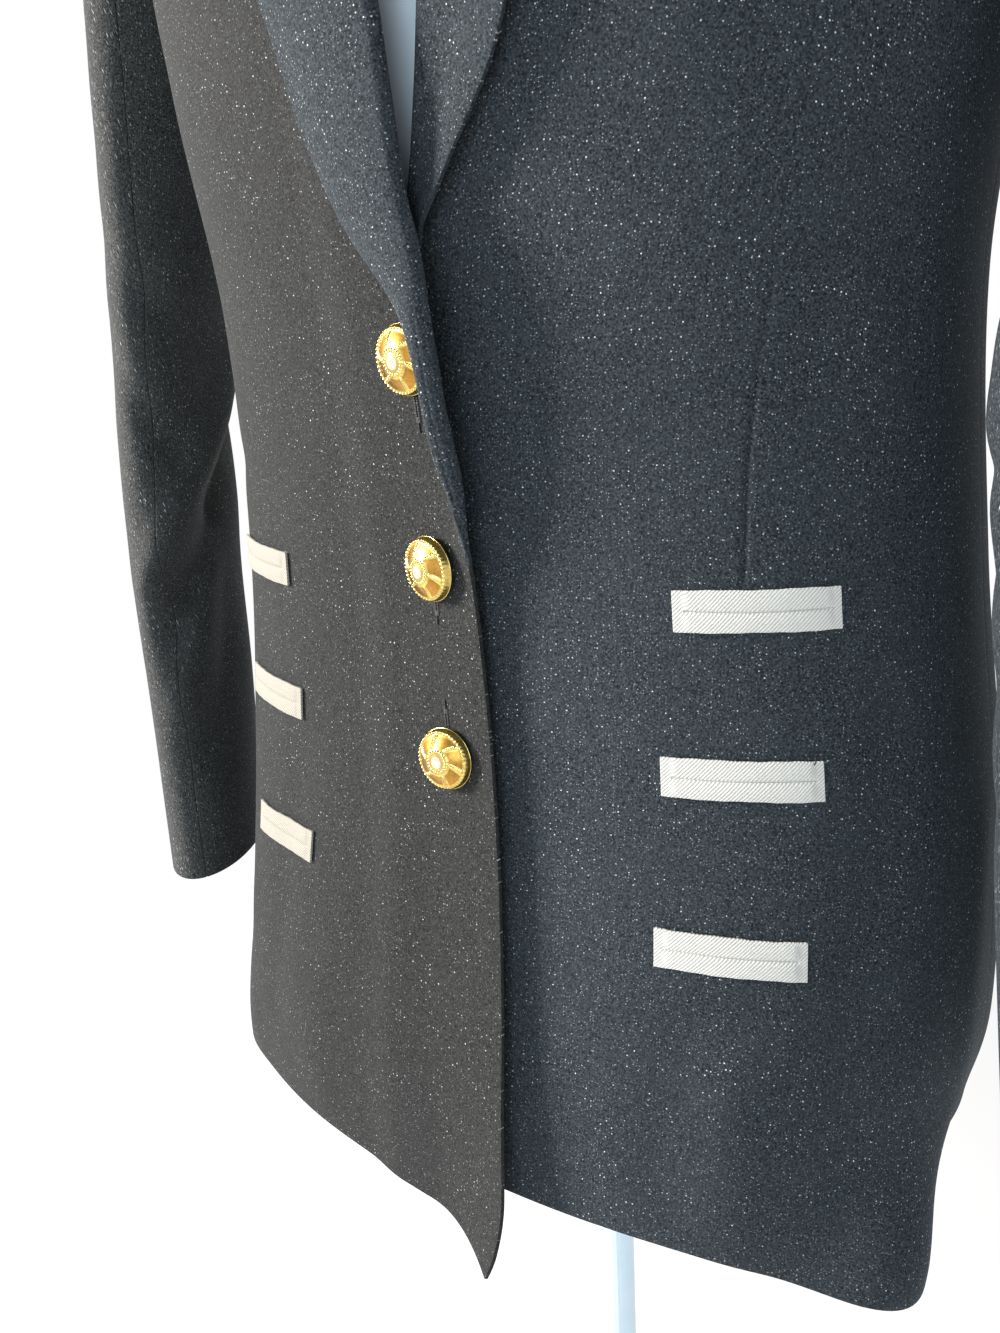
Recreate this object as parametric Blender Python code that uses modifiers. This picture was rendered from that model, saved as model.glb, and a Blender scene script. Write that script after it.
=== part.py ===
"""A tailored blazer on a limbless dress form with a pole and a round base.

Metres, +Z up. The jacket's front faces -Y and the wearer's left is +X. The origin is the
centre of the base's underside. A place on the jacket's body is an angle and a level: the
angle goes round from the centre front towards the wearer's left, and the level is the
height that the section has at the side of the body.
"""
import math
from collections import namedtuple

import bpy
from mathutils import Matrix, Vector

# Driving sizes
WALL = 0.0020
SEAM_GAP = 0.0003
REST_GAP = 0.0005
UNDERARM = 1.225
SHOULDER = 1.353
NECK = 1.396
FREE_HEM = 0.800

# Grid of a panel: the columns of each piece and the rows of each stretch of height
FRONT_COLUMNS = 14
SIDE_COLUMNS = 7
EDGE_DISTANCES = (0.0, 0.004, 0.008, 0.013, 0.020, 0.030, 0.044, 0.060, 0.078)
BACK_COLUMNS = 10
HEM_ROWS = 6
WAIST_LEVELS = (0.842, 0.885, 0.925, 0.964, 0.999, 1.027, 1.054, 1.080, 1.112, 1.165)
SHOULDER_ROWS = 3
SLEEVE_SEGMENTS = 20
CAP_ROWS = 5
ARM_ROWS = 9
LAPEL_ROWS = 22

# Sections of the body from the hem to the neck: the heights at the side, front and back,
# half the width, the depths to the front and to the back, and how square the corners are
Section = namedtuple("Section", "side front back half_width front_depth back_depth squareness")
SECTIONS = (
    Section(0.600, 0.600, 0.600, 0.182, 0.140, 0.138, 2.9),
    Section(0.660, 0.660, 0.660, 0.187, 0.139, 0.140, 2.8),
    Section(0.720, 0.720, 0.720, 0.197, 0.137, 0.143, 2.5),
    Section(0.830, 0.830, 0.830, 0.194, 0.118, 0.135, 2.3),
    Section(0.940, 0.940, 0.940, 0.181, 0.110, 0.114, 2.3),
    Section(1.050, 1.050, 1.050, 0.173, 0.116, 0.103, 2.3),
    Section(1.140, 1.140, 1.140, 0.180, 0.127, 0.109, 2.3),
    Section(1.225, 1.225, 1.225, 0.181, 0.129, 0.116, 2.35),
    Section(1.265, 1.262, 1.264, 0.183, 0.124, 0.117, 2.4),
    Section(1.315, 1.294, 1.305, 0.188, 0.113, 0.113, 2.5),
    Section(1.353, 1.320, 1.338, 0.191, 0.101, 0.104, 2.5),
    Section(1.369, 1.341, 1.362, 0.156, 0.089, 0.093, 2.3),
    Section(1.383, 1.358, 1.380, 0.116, 0.078, 0.082, 2.1),
    Section(1.396, 1.372, 1.392, 0.078, 0.068, 0.072, 2.0),
)
CENTRE_Y = -0.016
NORMAL_TURN = 0.012
NORMAL_RISE = 0.002

# Hem height round the body, by angle in degrees
HemHeight = namedtuple("HemHeight", "angle height")
RIGHT_HEM = (
    HemHeight(-90, 0.660),
    HemHeight(-55, 0.661),
    HemHeight(-20, 0.661),
    HemHeight(-3, 0.656),
    HemHeight(8, 0.646),
)
LEFT_HEM = (
    HemHeight(-8, 0.676),
    HemHeight(20, 0.675),
    HemHeight(42, 0.666),
    HemHeight(64, 0.654),
    HemHeight(90, 0.658),
)
BACK_HEM = (
    HemHeight(90, 0.658),
    HemHeight(130, 0.661),
    HemHeight(180, 0.663),
    HemHeight(230, 0.661),
    HemHeight(270, 0.660),
)

# Waves in which the free hem stands off: middle and half width in degrees, how far it
# stands out at the hem, and how high the wave reaches
Wave = namedtuple("Wave", "angle spread amount reach")
WAVES = (
    Wave(64, 15, 0.022, 0.070),
    Wave(-57, 15, 0.010, 0.080),
    Wave(132, 22, 0.012, 0.150),
    Wave(-138, 20, 0.010, 0.140),
)
WAVE_FOOT = 0.655

# The closing: how far the left front passes under the right one, and where each front's
# edge or roll line runs by level, how far it is lifted off and how much of it stands up
UNDERLAP = -0.020
EdgePlace = namedtuple("EdgePlace", "level x lift stand")
RIGHT_EDGE = (
    EdgePlace(0.640, 0.031, 0.0200, 0.0),
    EdgePlace(0.658, 0.037, 0.0150, 0.0),
    EdgePlace(0.685, 0.039, 0.0090, 0.0),
    EdgePlace(0.747, 0.036, 0.0040, 0.0),
    EdgePlace(0.811, 0.031, 0.0030, 0.0),
    EdgePlace(0.871, 0.027, 0.0030, 0.0),
    EdgePlace(0.917, 0.0235, 0.0030, 0.0),
    EdgePlace(0.952, 0.0226, 0.0060, 0.2),
    EdgePlace(0.977, 0.0221, 0.0110, 0.7),
    EdgePlace(1.010, 0.0195, 0.0155, 1.0),
    EdgePlace(1.037, 0.0185, 0.0170, 1.0),
    EdgePlace(1.071, 0.0155, 0.0140, 0.8),
    EdgePlace(1.085, 0.0120, 0.0115, 0.5),
    EdgePlace(1.116, 0.0095, 0.0080, 0.0),
    EdgePlace(1.145, 0.0070, 0.0065, 0.0),
    EdgePlace(1.180, 0.0010, 0.0055, 0.0),
    EdgePlace(1.225, -0.0120, 0.0050, 0.0),
    EdgePlace(1.290, -0.0340, 0.0035, 0.0),
    EdgePlace(1.353, -0.0550, 0.0015, 0.0),
    EdgePlace(1.396, -0.0670, 0.0000, 0.0),
)
LEFT_EDGE = (
    EdgePlace(0.640, UNDERLAP, 0.0, 0.0),
    EdgePlace(1.020, UNDERLAP, 0.0, 0.0),
    EdgePlace(1.045, -0.0120, 0.0, 0.0),
    EdgePlace(1.071, 0.0050, 0.0, 0.0),
    EdgePlace(1.116, 0.0200, 0.0, 0.0),
    EdgePlace(1.160, 0.0290, 0.0, 0.0),
    EdgePlace(1.225, 0.0390, 0.0, 0.0),
    EdgePlace(1.290, 0.0490, 0.0, 0.0),
    EdgePlace(1.353, 0.0600, 0.0, 0.0),
    EdgePlace(1.396, 0.0670, 0.0, 0.0),
)

# The overlapping edge in section: the distance from the edge along the cloth, and, where
# it stands up, how far inward that is and what share of the lift is left there
EdgeShape = namedtuple("EdgeShape", "distance inward share")
STANDING = (
    EdgeShape(0.000, 0.0000, 1.00),
    EdgeShape(0.004, 0.0012, 0.77),
    EdgeShape(0.008, 0.0026, 0.55),
    EdgeShape(0.013, 0.0052, 0.30),
    EdgeShape(0.020, 0.0115, 0.16),
    EdgeShape(0.030, 0.0213, 0.08),
    EdgeShape(0.042, 0.0331, 0.03),
    EdgeShape(0.060, 0.0511, 0.00),
)
LYING_REACH = 0.044
LYING_POWER = 1.6
EDGE_SEARCH = 0.12
EDGE_STRIP = 0.06
EDGE_ROOM = 0.15

# The step over the left front: its height, the x range over which the cloth rises to it,
# and the levels between which it fades out under the lapels
OVERLAP_LIFT = WALL + 0.0009
OVERLAP_FROM = -0.050
OVERLAP_FULL = -0.026
OVERLAP_FADE = 1.10
OVERLAP_GONE = 1.18

# Lapels: places up the roll line, the level there, and the level, x and rise of the leaf's
# outer edge
LapelRow = namedtuple("LapelRow", "place roll_level outer_level outer_x outer_rise")
LIE = WALL + 0.0015
RIGHT_LAPEL = (
    LapelRow(0, 0.9890, 0.9880, 0.0180, 0.0150),
    LapelRow(1, 1.0050, 1.0030, 0.0160, 0.0175),
    LapelRow(2, 1.0310, 1.0290, 0.0146, 0.0190),
    LapelRow(3, 1.0480, 1.0440, 0.0110, 0.0180),
    LapelRow(4, 1.0640, 1.0560, 0.0045, 0.0150),
    LapelRow(5, 1.0850, 1.0790, -0.0200, 0.0085),
    LapelRow(6, 1.1100, 1.1080, -0.0330, 0.0050),
    LapelRow(7, 1.1400, 1.1390, -0.0420, LIE),
    LapelRow(8, 1.1750, 1.1690, -0.0535, LIE),
    LapelRow(9, 1.2200, 1.2040, -0.0700, LIE),
    LapelRow(10, 1.2700, 1.2400, -0.0880, LIE),
    LapelRow(11, 1.3250, 1.2780, -0.1040, LIE),
    LapelRow(12, 1.3770, 1.3120, -0.1180, LIE),
)
LEFT_LAPEL = (
    LapelRow(0, 1.0680, 1.0675, 0.0100, LIE),
    LapelRow(1, 1.0800, 1.0770, 0.0170, LIE),
    LapelRow(2, 1.1000, 1.0950, 0.0310, LIE),
    LapelRow(3, 1.1300, 1.1270, 0.0530, LIE),
    LapelRow(4, 1.1750, 1.1690, 0.0660, LIE),
    LapelRow(5, 1.2200, 1.2040, 0.0780, LIE),
    LapelRow(6, 1.2700, 1.2400, 0.0920, LIE),
    LapelRow(7, 1.3250, 1.2780, 0.1060, LIE),
    LapelRow(8, 1.3770, 1.3120, 0.1180, LIE),
)
LEAF_COLUMNS = 7
LEAF_CROWN = 0.0010
LEAF_PAST = WALL + SEAM_GAP + 0.0010

# Collar stations from the gorge to the centre back: the angle and level of the stand's
# base, the height of the stand, and the angle and level of the fall's outer edge
CollarRow = namedtuple("CollarRow", "place base_angle base_level stand edge_angle edge_level")
COLLAR = (
    CollarRow(0, 28, 1.3805, 0.004, 24.2, 1.3440),
    CollarRow(1, 43, 1.3900, 0.007, 35.0, 1.3580),
    CollarRow(2, 62, 1.3940, 0.013, 60.0, 1.3710),
    CollarRow(3, 90, 1.3940, 0.022, 90.0, 1.3770),
    CollarRow(4, 132, 1.3940, 0.028, 130.0, 1.3770),
    CollarRow(5, 180, 1.3940, 0.030, 180.0, 1.3770),
)
COLLAR_STATIONS = 25
STAND_ROWS = 3
ROLL_ROWS = 4
FALL_ROWS = 5
ROLL_RADIUS = 0.0030
FALL_LIE = 0.0050
STAND_LIE = WALL * 1.2 + SEAM_GAP
STAND_LEAN = 0.10
ROLL_TURN = 0.85 * math.pi
FALL_POWER = 1.4

# Armhole, half its width in front of and behind the shoulder line
ARMHOLE_FRONT = 0.056
ARMHOLE_BACK = 0.062
CAP_INSET = (WALL / 2 + SEAM_GAP) * 1.2

# Sleeves: the height of a ring, its centre, half its long and short axes, and its turn.
# Out is away from the body and back is +Y, on either side
ArmRing = namedtuple("ArmRing", "height out back half_long half_short turn")
RIGHT_ARM = (
    ArmRing(1.180, 0.2270, -0.012, 0.066, 0.0310, 8),
    ArmRing(1.110, 0.2390, -0.022, 0.061, 0.0280, 16),
    ArmRing(1.020, 0.2495, -0.034, 0.056, 0.0250, 25),
    ArmRing(0.930, 0.2485, -0.045, 0.053, 0.0240, 25),
    ArmRing(0.840, 0.2450, -0.052, 0.051, 0.0235, 26),
    ArmRing(0.738, 0.2430, -0.060, 0.048, 0.0235, 29),
)
LEFT_ARM = (
    ArmRing(1.180, 0.2200, -0.012, 0.066, 0.0310, 7),
    ArmRing(1.110, 0.2190, -0.022, 0.061, 0.0280, 13),
    ArmRing(1.020, 0.2185, -0.034, 0.056, 0.0250, 19),
    ArmRing(0.930, 0.2255, -0.045, 0.053, 0.0240, 20),
    ArmRing(0.840, 0.2350, -0.052, 0.051, 0.0235, 21),
    ArmRing(0.738, 0.2473, -0.060, 0.048, 0.0235, 24),
)
FRONT_SEAM = 108
BACK_SEAM = 252
SLEEVE_SEAM_RADIUS = 0.028
CAP_FULLNESS = 1.15
CAP_DROP = 0.12
UNDER_DROP = 0.50
UNDER_CLEAR = 1.1

# Folds that cross a sleeve: height at the front, how far it falls to the back, half
# its height, the middle and spread in degrees round the sleeve, and its depth
SleeveFold = namedtuple("SleeveFold", "height fall half_height angle spread depth")
SLEEVE_FOLDS = (
    SleeveFold(1.055, 0.030, 0.018, 120, 55, 0.0050),
    SleeveFold(0.985, 0.045, 0.016, 125, 50, 0.0045),
    SleeveFold(0.915, 0.020, 0.016, 120, 45, 0.0030),
    SleeveFold(1.140, -0.030, 0.020, 250, 50, 0.0040),
)

# Welt pockets on each front: height of the middle, how far out the inner end is on the
# right and on the left, the length along the cloth, and how far the outer end drops
Welt = namedtuple("Welt", "label height right_x left_x length drop")
WELTS = (
    Welt("upper", 0.9385, 0.0955, 0.0955, 0.064, 0.0000),
    Welt("middle", 0.8745, 0.0920, 0.0925, 0.064, 0.0010),
    Welt("lower", 0.8050, 0.0870, 0.0930, 0.062, 0.0030),
)
WELT_HEIGHT = 0.0156
WELT_WALL = 0.0011
WELT_SLIT = 0.0006
WELT_COLUMNS = 9
WELT_END = 0.0035

# Buttons down the closing: height, x, and how far the cloth tips under each
Fastening = namedtuple("Fastening", "label height x turn")
FASTENINGS = (
    Fastening("upper", 1.031, 0.0005, 3),
    Fastening("middle", 0.951, 0.0020, 4),
    Fastening("lower", 0.871, 0.0045, -5),
)
BUTTON_RADIUS = 0.0132
BUTTON_SEAT = 0.0022
SHANK_WIDTH = 0.0019
SHANK_HEIGHT = 0.0050
SHANK_ROOT = 0.0020
BUTTONHOLE_WIDTH = 0.0027
BUTTONHOLE_HEIGHT = 0.0270
BUTTONHOLE_DEPTH = 0.014
BUTTON_SEGMENTS = 20

# Half of a button in section, from the top of the dome over the rim to the back
ButtonPlace = namedtuple("ButtonPlace", "radius height")
BUTTON_PROFILE = (
    ButtonPlace(0.0000, 0.0072),
    ButtonPlace(0.0034, 0.0070),
    ButtonPlace(0.0066, 0.0061),
    ButtonPlace(0.0094, 0.0045),
    ButtonPlace(0.0112, 0.0030),
    ButtonPlace(0.0124, 0.0031),
    ButtonPlace(BUTTON_RADIUS, 0.0020),
    ButtonPlace(0.0128, 0.0009),
    ButtonPlace(0.0110, 0.0002),
    ButtonPlace(0.0060, 0.0000),
    ButtonPlace(0.0000, 0.0000),
)

# Dress form and stand
FORM_BOTTOM = 0.790
FORM_TOP = NECK - 0.004
FormInset = namedtuple("FormInset", "level inset")
FORM_INSETS = (
    FormInset(0.790, 0.016),
    FormInset(0.900, 0.012),
    FormInset(1.050, 0.009),
    FormInset(1.180, 0.008),
    FormInset(1.265, 0.007),
    FormInset(1.330, 0.0050),
    FormInset(1.360, 0.0029),
    FormInset(1.383, 0.0032),
    FormInset(1.396, 0.0085),
)
FORM_SEGMENTS = 34
FORM_LOW_ROWS = 12
FORM_HIGH_ROWS = 8
FormUnderside = namedtuple("FormUnderside", "shrink drop")
FORM_UNDERSIDE = (
    FormUnderside(0.55, 0.030),
    FormUnderside(0.85, 0.020),
)
NECK_SETBACK = 0.6
NeckRing = namedtuple("NeckRing", "height radius")
FORM_NECK = (
    NeckRing(1.404, 0.0600),
    NeckRing(1.425, 0.0555),
    NeckRing(1.455, 0.0545),
    NeckRing(1.488, 0.0540),
    NeckRing(1.496, 0.0500),
)
POLE_RADIUS = 0.0112
BASE_RADIUS = 0.165
BASE_HEIGHT = 0.014
HUB_RADIUS = 0.024
HUB_HEIGHT = 0.048


def clear_scene():
    """Remove what the file opened with."""
    for thing in list(bpy.data.objects):
        bpy.data.objects.remove(thing, do_unlink=True)


def smoothstep(value):
    """0 below 0, 1 above 1, and a smooth rise between."""
    value = min(max(value, 0.0), 1.0)
    return value * value * (3.0 - 2.0 * value)


def smooth_table(rows, place, column):
    """Read one column of a table at a place, on a smooth curve through its rows."""
    places = [row[0] for row in rows]
    values = [getattr(row, column) for row in rows]
    last = len(rows) - 1
    if place <= places[0]:
        return values[0]
    if place >= places[last]:
        return values[last]
    step = max(i for i in range(last) if places[i] <= place)
    slopes = []
    for i in (step, step + 1):
        before = max(i - 1, 0)
        after = min(i + 1, last)
        slopes.append((values[after] - values[before]) / (places[after] - places[before]))
    width = places[step + 1] - places[step]
    t = (place - places[step]) / width
    return (
        (2 * t ** 3 - 3 * t ** 2 + 1) * values[step]
        + (t ** 3 - 2 * t ** 2 + t) * width * slopes[0]
        + (3 * t ** 2 - 2 * t ** 3) * values[step + 1]
        + (t ** 3 - t ** 2) * width * slopes[1]
    )


def section_at(level):
    """The body's section at a level."""
    return Section(*(smooth_table(SECTIONS, level, name) for name in Section._fields))


def angle_for_x(x, level):
    """The angle at which the front of the body has this x."""
    section = section_at(level)
    share = min(abs(x) / section.half_width, 1.0)
    angle = math.asin(share ** (section.squareness / 2))
    return math.copysign(angle, x)


def angle_for_depth(reach, level, front):
    """The angle on the wearer's left at which the body is this far before or behind."""
    section = section_at(level)
    depth = section.front_depth if front else section.back_depth
    angle = math.acos(min(reach / depth, 1.0) ** (section.squareness / 2))
    return angle if front else math.pi - angle


def wave_height(angle, level):
    """How far the hem's waves push the cloth out at a place."""
    total = 0.0
    for wave in WAVES:
        turn = math.remainder(angle - math.radians(wave.angle), 2 * math.pi)
        round_share = math.exp(-(turn / math.radians(wave.spread)) ** 2)
        up_share = smoothstep(1 - (level - WAVE_FOOT) / wave.reach)
        total += wave.amount * round_share * up_share
    return total


def body_middle(angle, level):
    """A place on the body surface, before any cloth is moved out from it."""
    section = section_at(level)
    sine = math.sin(angle)
    cosine = math.cos(angle)
    power = 2 / section.squareness
    depth = section.front_depth if cosine > 0 else section.back_depth
    x = section.half_width * math.copysign(abs(sine) ** power, sine)
    y = CENTRE_Y - depth * math.copysign(abs(cosine) ** power, cosine)
    middle_height = section.front if cosine > 0 else section.back
    z = section.side + (middle_height - section.side) * cosine * cosine
    point = Vector((x, y, z))
    push = wave_height(angle, level)
    if push > 0:
        point += Vector((x, y - CENTRE_Y, 0)).normalized() * push
    return point


def body_normal(angle, level):
    """The outward direction at a place on the body surface."""
    round_way = body_middle(angle + NORMAL_TURN, level) - body_middle(angle - NORMAL_TURN, level)
    up_way = body_middle(angle, level + NORMAL_RISE) - body_middle(angle, level - NORMAL_RISE)
    return round_way.cross(up_way).normalized()


def body_point(angle, level, out=0.0):
    """A place on the body surface, moved out along its normal."""
    return body_middle(angle, level) + body_normal(angle, level) * out


def right_edge_shape(level, distance):
    """The x of the right front at a distance from its edge, and how far out it is."""
    edge_x = smooth_table(RIGHT_EDGE, level, "x")
    lift = smooth_table(RIGHT_EDGE, level, "lift")
    stand = smooth_table(RIGHT_EDGE, level, "stand")
    lying = lift * max(1 - distance / LYING_REACH, 0) ** LYING_POWER
    standing = lift * smooth_table(STANDING, distance, "share")
    last = STANDING[-1]
    inward = smooth_table(STANDING, distance, "inward") + max(distance - last.distance, 0)
    x = edge_x - distance * (1 - stand) - inward * stand
    overlap = OVERLAP_LIFT * smoothstep((x - OVERLAP_FROM) / (OVERLAP_FULL - OVERLAP_FROM))
    overlap *= 1 - smoothstep((level - OVERLAP_FADE) / (OVERLAP_GONE - OVERLAP_FADE))
    return x, lying * (1 - stand) + standing * stand + overlap


def right_front_middle(level, distance):
    """A place on the right front's middle surface."""
    x, rise = right_edge_shape(level, distance)
    return body_point(angle_for_x(x, level), level, rise)


def right_front_frame(level, distance):
    """A place on the right front, with its directions across and out."""
    step = 0.001
    here = right_front_middle(level, distance)
    across = right_front_middle(level, max(distance - step, 0)) - right_front_middle(
        level, distance + step
    )
    rise = right_front_middle(level + step, distance) - right_front_middle(level - step, distance)
    across.normalize()
    return here, across, across.cross(rise).normalized()


def distance_for_x(x, level):
    """The distance from the right front's edge at which its cloth has this x."""
    low = 0.0
    high = EDGE_SEARCH
    for _ in range(30):
        middle = (low + high) / 2
        if right_edge_shape(level, middle)[0] > x:
            low = middle
        else:
            high = middle
    return (low + high) / 2


def right_rise(x, level):
    """How far out from the body the right front's cloth is at this x."""
    if x < min(smooth_table(RIGHT_EDGE, level, "x") - EDGE_STRIP, OVERLAP_FROM):
        return 0.0
    return right_edge_shape(level, distance_for_x(x, level))[1]


def edge_room(level):
    """The share of the edge's column distances that fits beside the neck."""
    section = section_at(level)
    room = section.half_width - abs(smooth_table(RIGHT_EDGE, level, "x"))
    return min(1.0, room / EDGE_ROOM)


def add_mesh(name, vertices, faces):
    """Make a mesh object."""
    mesh = bpy.data.meshes.new(name)
    mesh.from_pydata([tuple(vertex) for vertex in vertices], [], faces)
    mesh.update()
    thing = bpy.data.objects.new(name, mesh)
    bpy.context.scene.collection.objects.link(thing)
    return thing


def add_wall(name, points, normals, thickness=WALL, skip=()):
    """Make a wall of a grid of points, half of it to each side, leaving out some cells."""
    columns = len(points[0])
    size = len(points) * columns
    half = thickness / 2
    flat_points = [point for line in points for point in line]
    flat_normals = [normal for line in normals for normal in line]
    vertices = [point + normal * half for point, normal in zip(flat_points, flat_normals)]
    vertices += [point - normal * half for point, normal in zip(flat_points, flat_normals)]
    faces = []
    open_edges = set()
    for row in range(len(points) - 1):
        for column in range(columns - 1):
            if (row, column) in skip:
                continue
            low = row * columns + column
            corners = (low, low + 1, low + 1 + columns, low + columns)
            faces.append(corners)
            faces.append(tuple(corner + size for corner in corners[::-1]))
            for first, second in zip(corners, corners[1:] + corners[:1]):
                if (second, first) in open_edges:
                    open_edges.remove((second, first))
                else:
                    open_edges.add((first, second))
    for first, second in sorted(open_edges):
        faces.append((second, first, first + size, second + size))
    return add_mesh(name, vertices, faces)


def add_turned(name, profile, steps):
    """Turn a profile of radii and heights about the object's own axis."""
    mesh = bpy.data.meshes.new(name)
    edges = [(i, i + 1) for i in range(len(profile) - 1)]
    mesh.from_pydata([(radius, 0.0, height) for radius, height in profile], edges, [])
    thing = bpy.data.objects.new(name, mesh)
    bpy.context.scene.collection.objects.link(thing)
    turn = thing.modifiers.new("turned", "SCREW")
    turn.steps = steps
    turn.render_steps = steps
    turn.use_merge_vertices = True
    turn.merge_threshold = 0.00001
    turn.use_smooth_shade = False
    turn.use_normal_calculate = True
    return thing


def add_rings(name, rings):
    """Make a closed body of rings of points, with a face over either end."""
    segments = len(rings[0])
    faces = []
    for row in range(len(rings) - 1):
        low = row * segments
        for column in range(segments):
            after = (column + 1) % segments
            high = low + segments
            faces.append((low + column, low + after, high + after, high + column))
    last = (len(rings) - 1) * segments
    faces.append(tuple(range(segments))[::-1])
    faces.append(tuple(range(last, last + segments)))
    return add_mesh(name, [point for ring in rings for point in ring], faces)


def grid_normals(points):
    """The direction square to a grid at each of its points."""
    rows = len(points)
    columns = len(points[0])
    normals = []
    for i in range(rows):
        line = []
        for j in range(columns):
            across = points[i][min(j + 1, columns - 1)] - points[i][max(j - 1, 0)]
            along = points[min(i + 1, rows - 1)][j] - points[max(i - 1, 0)][j]
            line.append(across.cross(along).normalized())
        normals.append(line)
    return normals


def add_panel(name, cells):
    """Make a wall on the body surface of rows of angles and levels."""
    points = [[body_point(*cell) for cell in row] for row in cells]
    normals = [[body_normal(*cell) for cell in row] for row in cells]
    return add_wall(name, points, normals)


def armhole_levels():
    """The levels of the rows beside the armhole, spaced as the sleeve's ring is."""
    half_turn = SLEEVE_SEGMENTS // 2
    middle = (UNDERARM + SHOULDER) / 2
    half = (SHOULDER - UNDERARM) / 2
    return [middle - half * math.cos(math.pi * i / half_turn) for i in range(half_turn + 1)]


def panel_levels(hem):
    """The levels of a panel's rows, from the hem's level up to the neck."""
    low = [hem + (FREE_HEM - hem) * i / HEM_ROWS for i in range(HEM_ROWS)]
    middle = [FREE_HEM, *WAIST_LEVELS]
    top = [SHOULDER + (NECK - SHOULDER) * (i + 1) / SHOULDER_ROWS for i in range(SHOULDER_ROWS)]
    return low + middle + armhole_levels() + top


def side_limit(level, front):
    """The angle, on the wearer's left, of the side seam, armhole or shoulder seam."""
    reach = SEAM_GAP / 2
    if UNDERARM < level < SHOULDER:
        share = (2 * level - UNDERARM - SHOULDER) / (SHOULDER - UNDERARM)
        reach += math.sqrt(1 - share * share) * (ARMHOLE_FRONT if front else ARMHOLE_BACK)
    return angle_for_depth(reach, level, front)


def panel_rows(start, end, hem, shares):
    """Angle and level of each grid point of a panel between two limits."""
    rows = []
    for row in range(len(panel_levels(FREE_HEM))):
        cells = []
        for share in shares:
            level = panel_levels(hem[0].height)[row]
            for _ in range(3):
                angle = start(level) + (end(level) - start(level)) * share
                height = smooth_table(hem, math.degrees(angle), "height")
                level = panel_levels(height)[row]
            cells.append((angle, level))
        rows.append(cells)
    return rows


def even_shares(columns):
    """The shares of a width at which evenly spaced columns stand."""
    return [i / columns for i in range(columns + 1)]


def make_front_right():
    """The right front, which lies over the left one, with its columns closer at the edge."""
    edge_last = EDGE_DISTANCES[-1]

    def inner_limit(level):
        return angle_for_x(right_edge_shape(level, edge_last * edge_room(level))[0], level)

    def side(level):
        return -side_limit(level, True)

    points = []
    normals = []
    for cells in panel_rows(side, inner_limit, RIGHT_HEM, even_shares(SIDE_COLUMNS)):
        line = []
        directions = []
        for angle, level in cells[:-1]:
            rise = right_rise(body_middle(angle, level).x, level)
            line.append(body_point(angle, level, rise))
            directions.append(body_normal(angle, level))
        last_level = cells[-1][1]
        for distance in EDGE_DISTANCES[::-1]:
            level = last_level
            if last_level < FREE_HEM:
                share = (FREE_HEM - last_level) / (FREE_HEM - hem_near_edge(edge_last))
                level = FREE_HEM - share * (FREE_HEM - hem_near_edge(distance))
            here, across, outward = right_front_frame(level, distance * edge_room(level))
            line.append(here)
            directions.append(outward)
        points.append(line)
        normals.append(directions)
    return add_wall("front_right", points, normals)


def hem_near_edge(distance):
    """The right front's hem height at a distance from its edge."""
    x = right_edge_shape(0.66, distance)[0]
    return smooth_table(RIGHT_HEM, math.degrees(angle_for_x(x, 0.66)), "height")


def make_front_left():
    """The left front, which passes behind the right one."""
    def start(level):
        return angle_for_x(smooth_table(LEFT_EDGE, level, "x"), level)

    def end(level):
        return side_limit(level, True)

    return add_panel("front_left", panel_rows(start, end, LEFT_HEM, even_shares(FRONT_COLUMNS)))


def make_backs():
    """The two halves of the back, parted by the centre back seam."""
    def centre_gap(level):
        return SEAM_GAP / 2 / section_at(level).half_width

    def left_start(level):
        return side_limit(level, False)

    def left_end(level):
        return math.pi - centre_gap(level)

    def right_start(level):
        return math.pi + centre_gap(level)

    def right_end(level):
        return 2 * math.pi - side_limit(level, False)

    walls = []
    for name, start, end in (
        ("back_left", left_start, left_end),
        ("back_right", right_start, right_end),
    ):
        cells = panel_rows(start, end, BACK_HEM, even_shares(BACK_COLUMNS))
        walls.append(add_panel(name, cells))
    return walls


def leaf_line(row, side, table):
    """One line across a lapel leaf, from round the front's edge to its outer edge."""
    edge_x = smooth_table(table, row.roll_level, "x")
    lift = 0.0
    if side < 0:
        edge_x, lift = right_edge_shape(row.roll_level, 0.0)
    line = []
    for past, share in ((1.0, 0.0), (0.8, 0.62), (0.1, 1.0)):
        reach = LEAF_PAST * past
        rise = LIE * share
        angle = angle_for_x(edge_x - side * reach, row.roll_level)
        line.append(body_point(angle, row.roll_level, lift + rise))
    for column in range(1, LEAF_COLUMNS + 1):
        share = column / LEAF_COLUMNS
        x = edge_x + (row.outer_x - edge_x) * share
        level = row.roll_level + (row.outer_level - row.roll_level) * share
        lying = LIE + (right_rise(x, level) if side < 0 else 0.0)
        bridge = row.outer_rise + (lift + LIE - row.outer_rise) * (1 - share ** 2)
        crown = LEAF_CROWN * math.sin(math.pi * share)
        line.append(body_point(angle_for_x(x, level), level, max(lying, bridge) + crown))
    return line


def make_lapel(name, rows, table, side):
    """A lapel leaf: it rolls round the front's edge and lies on the front."""
    lines = []
    for i in range(LAPEL_ROWS):
        place = rows[-1].place * i / (LAPEL_ROWS - 1)
        row = LapelRow(*(smooth_table(rows, place, column) for column in LapelRow._fields))
        line = leaf_line(row, side, table)
        lines.append(line[::-1] if side < 0 else line)
    return add_wall(name, lines, grid_normals(lines))


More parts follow.
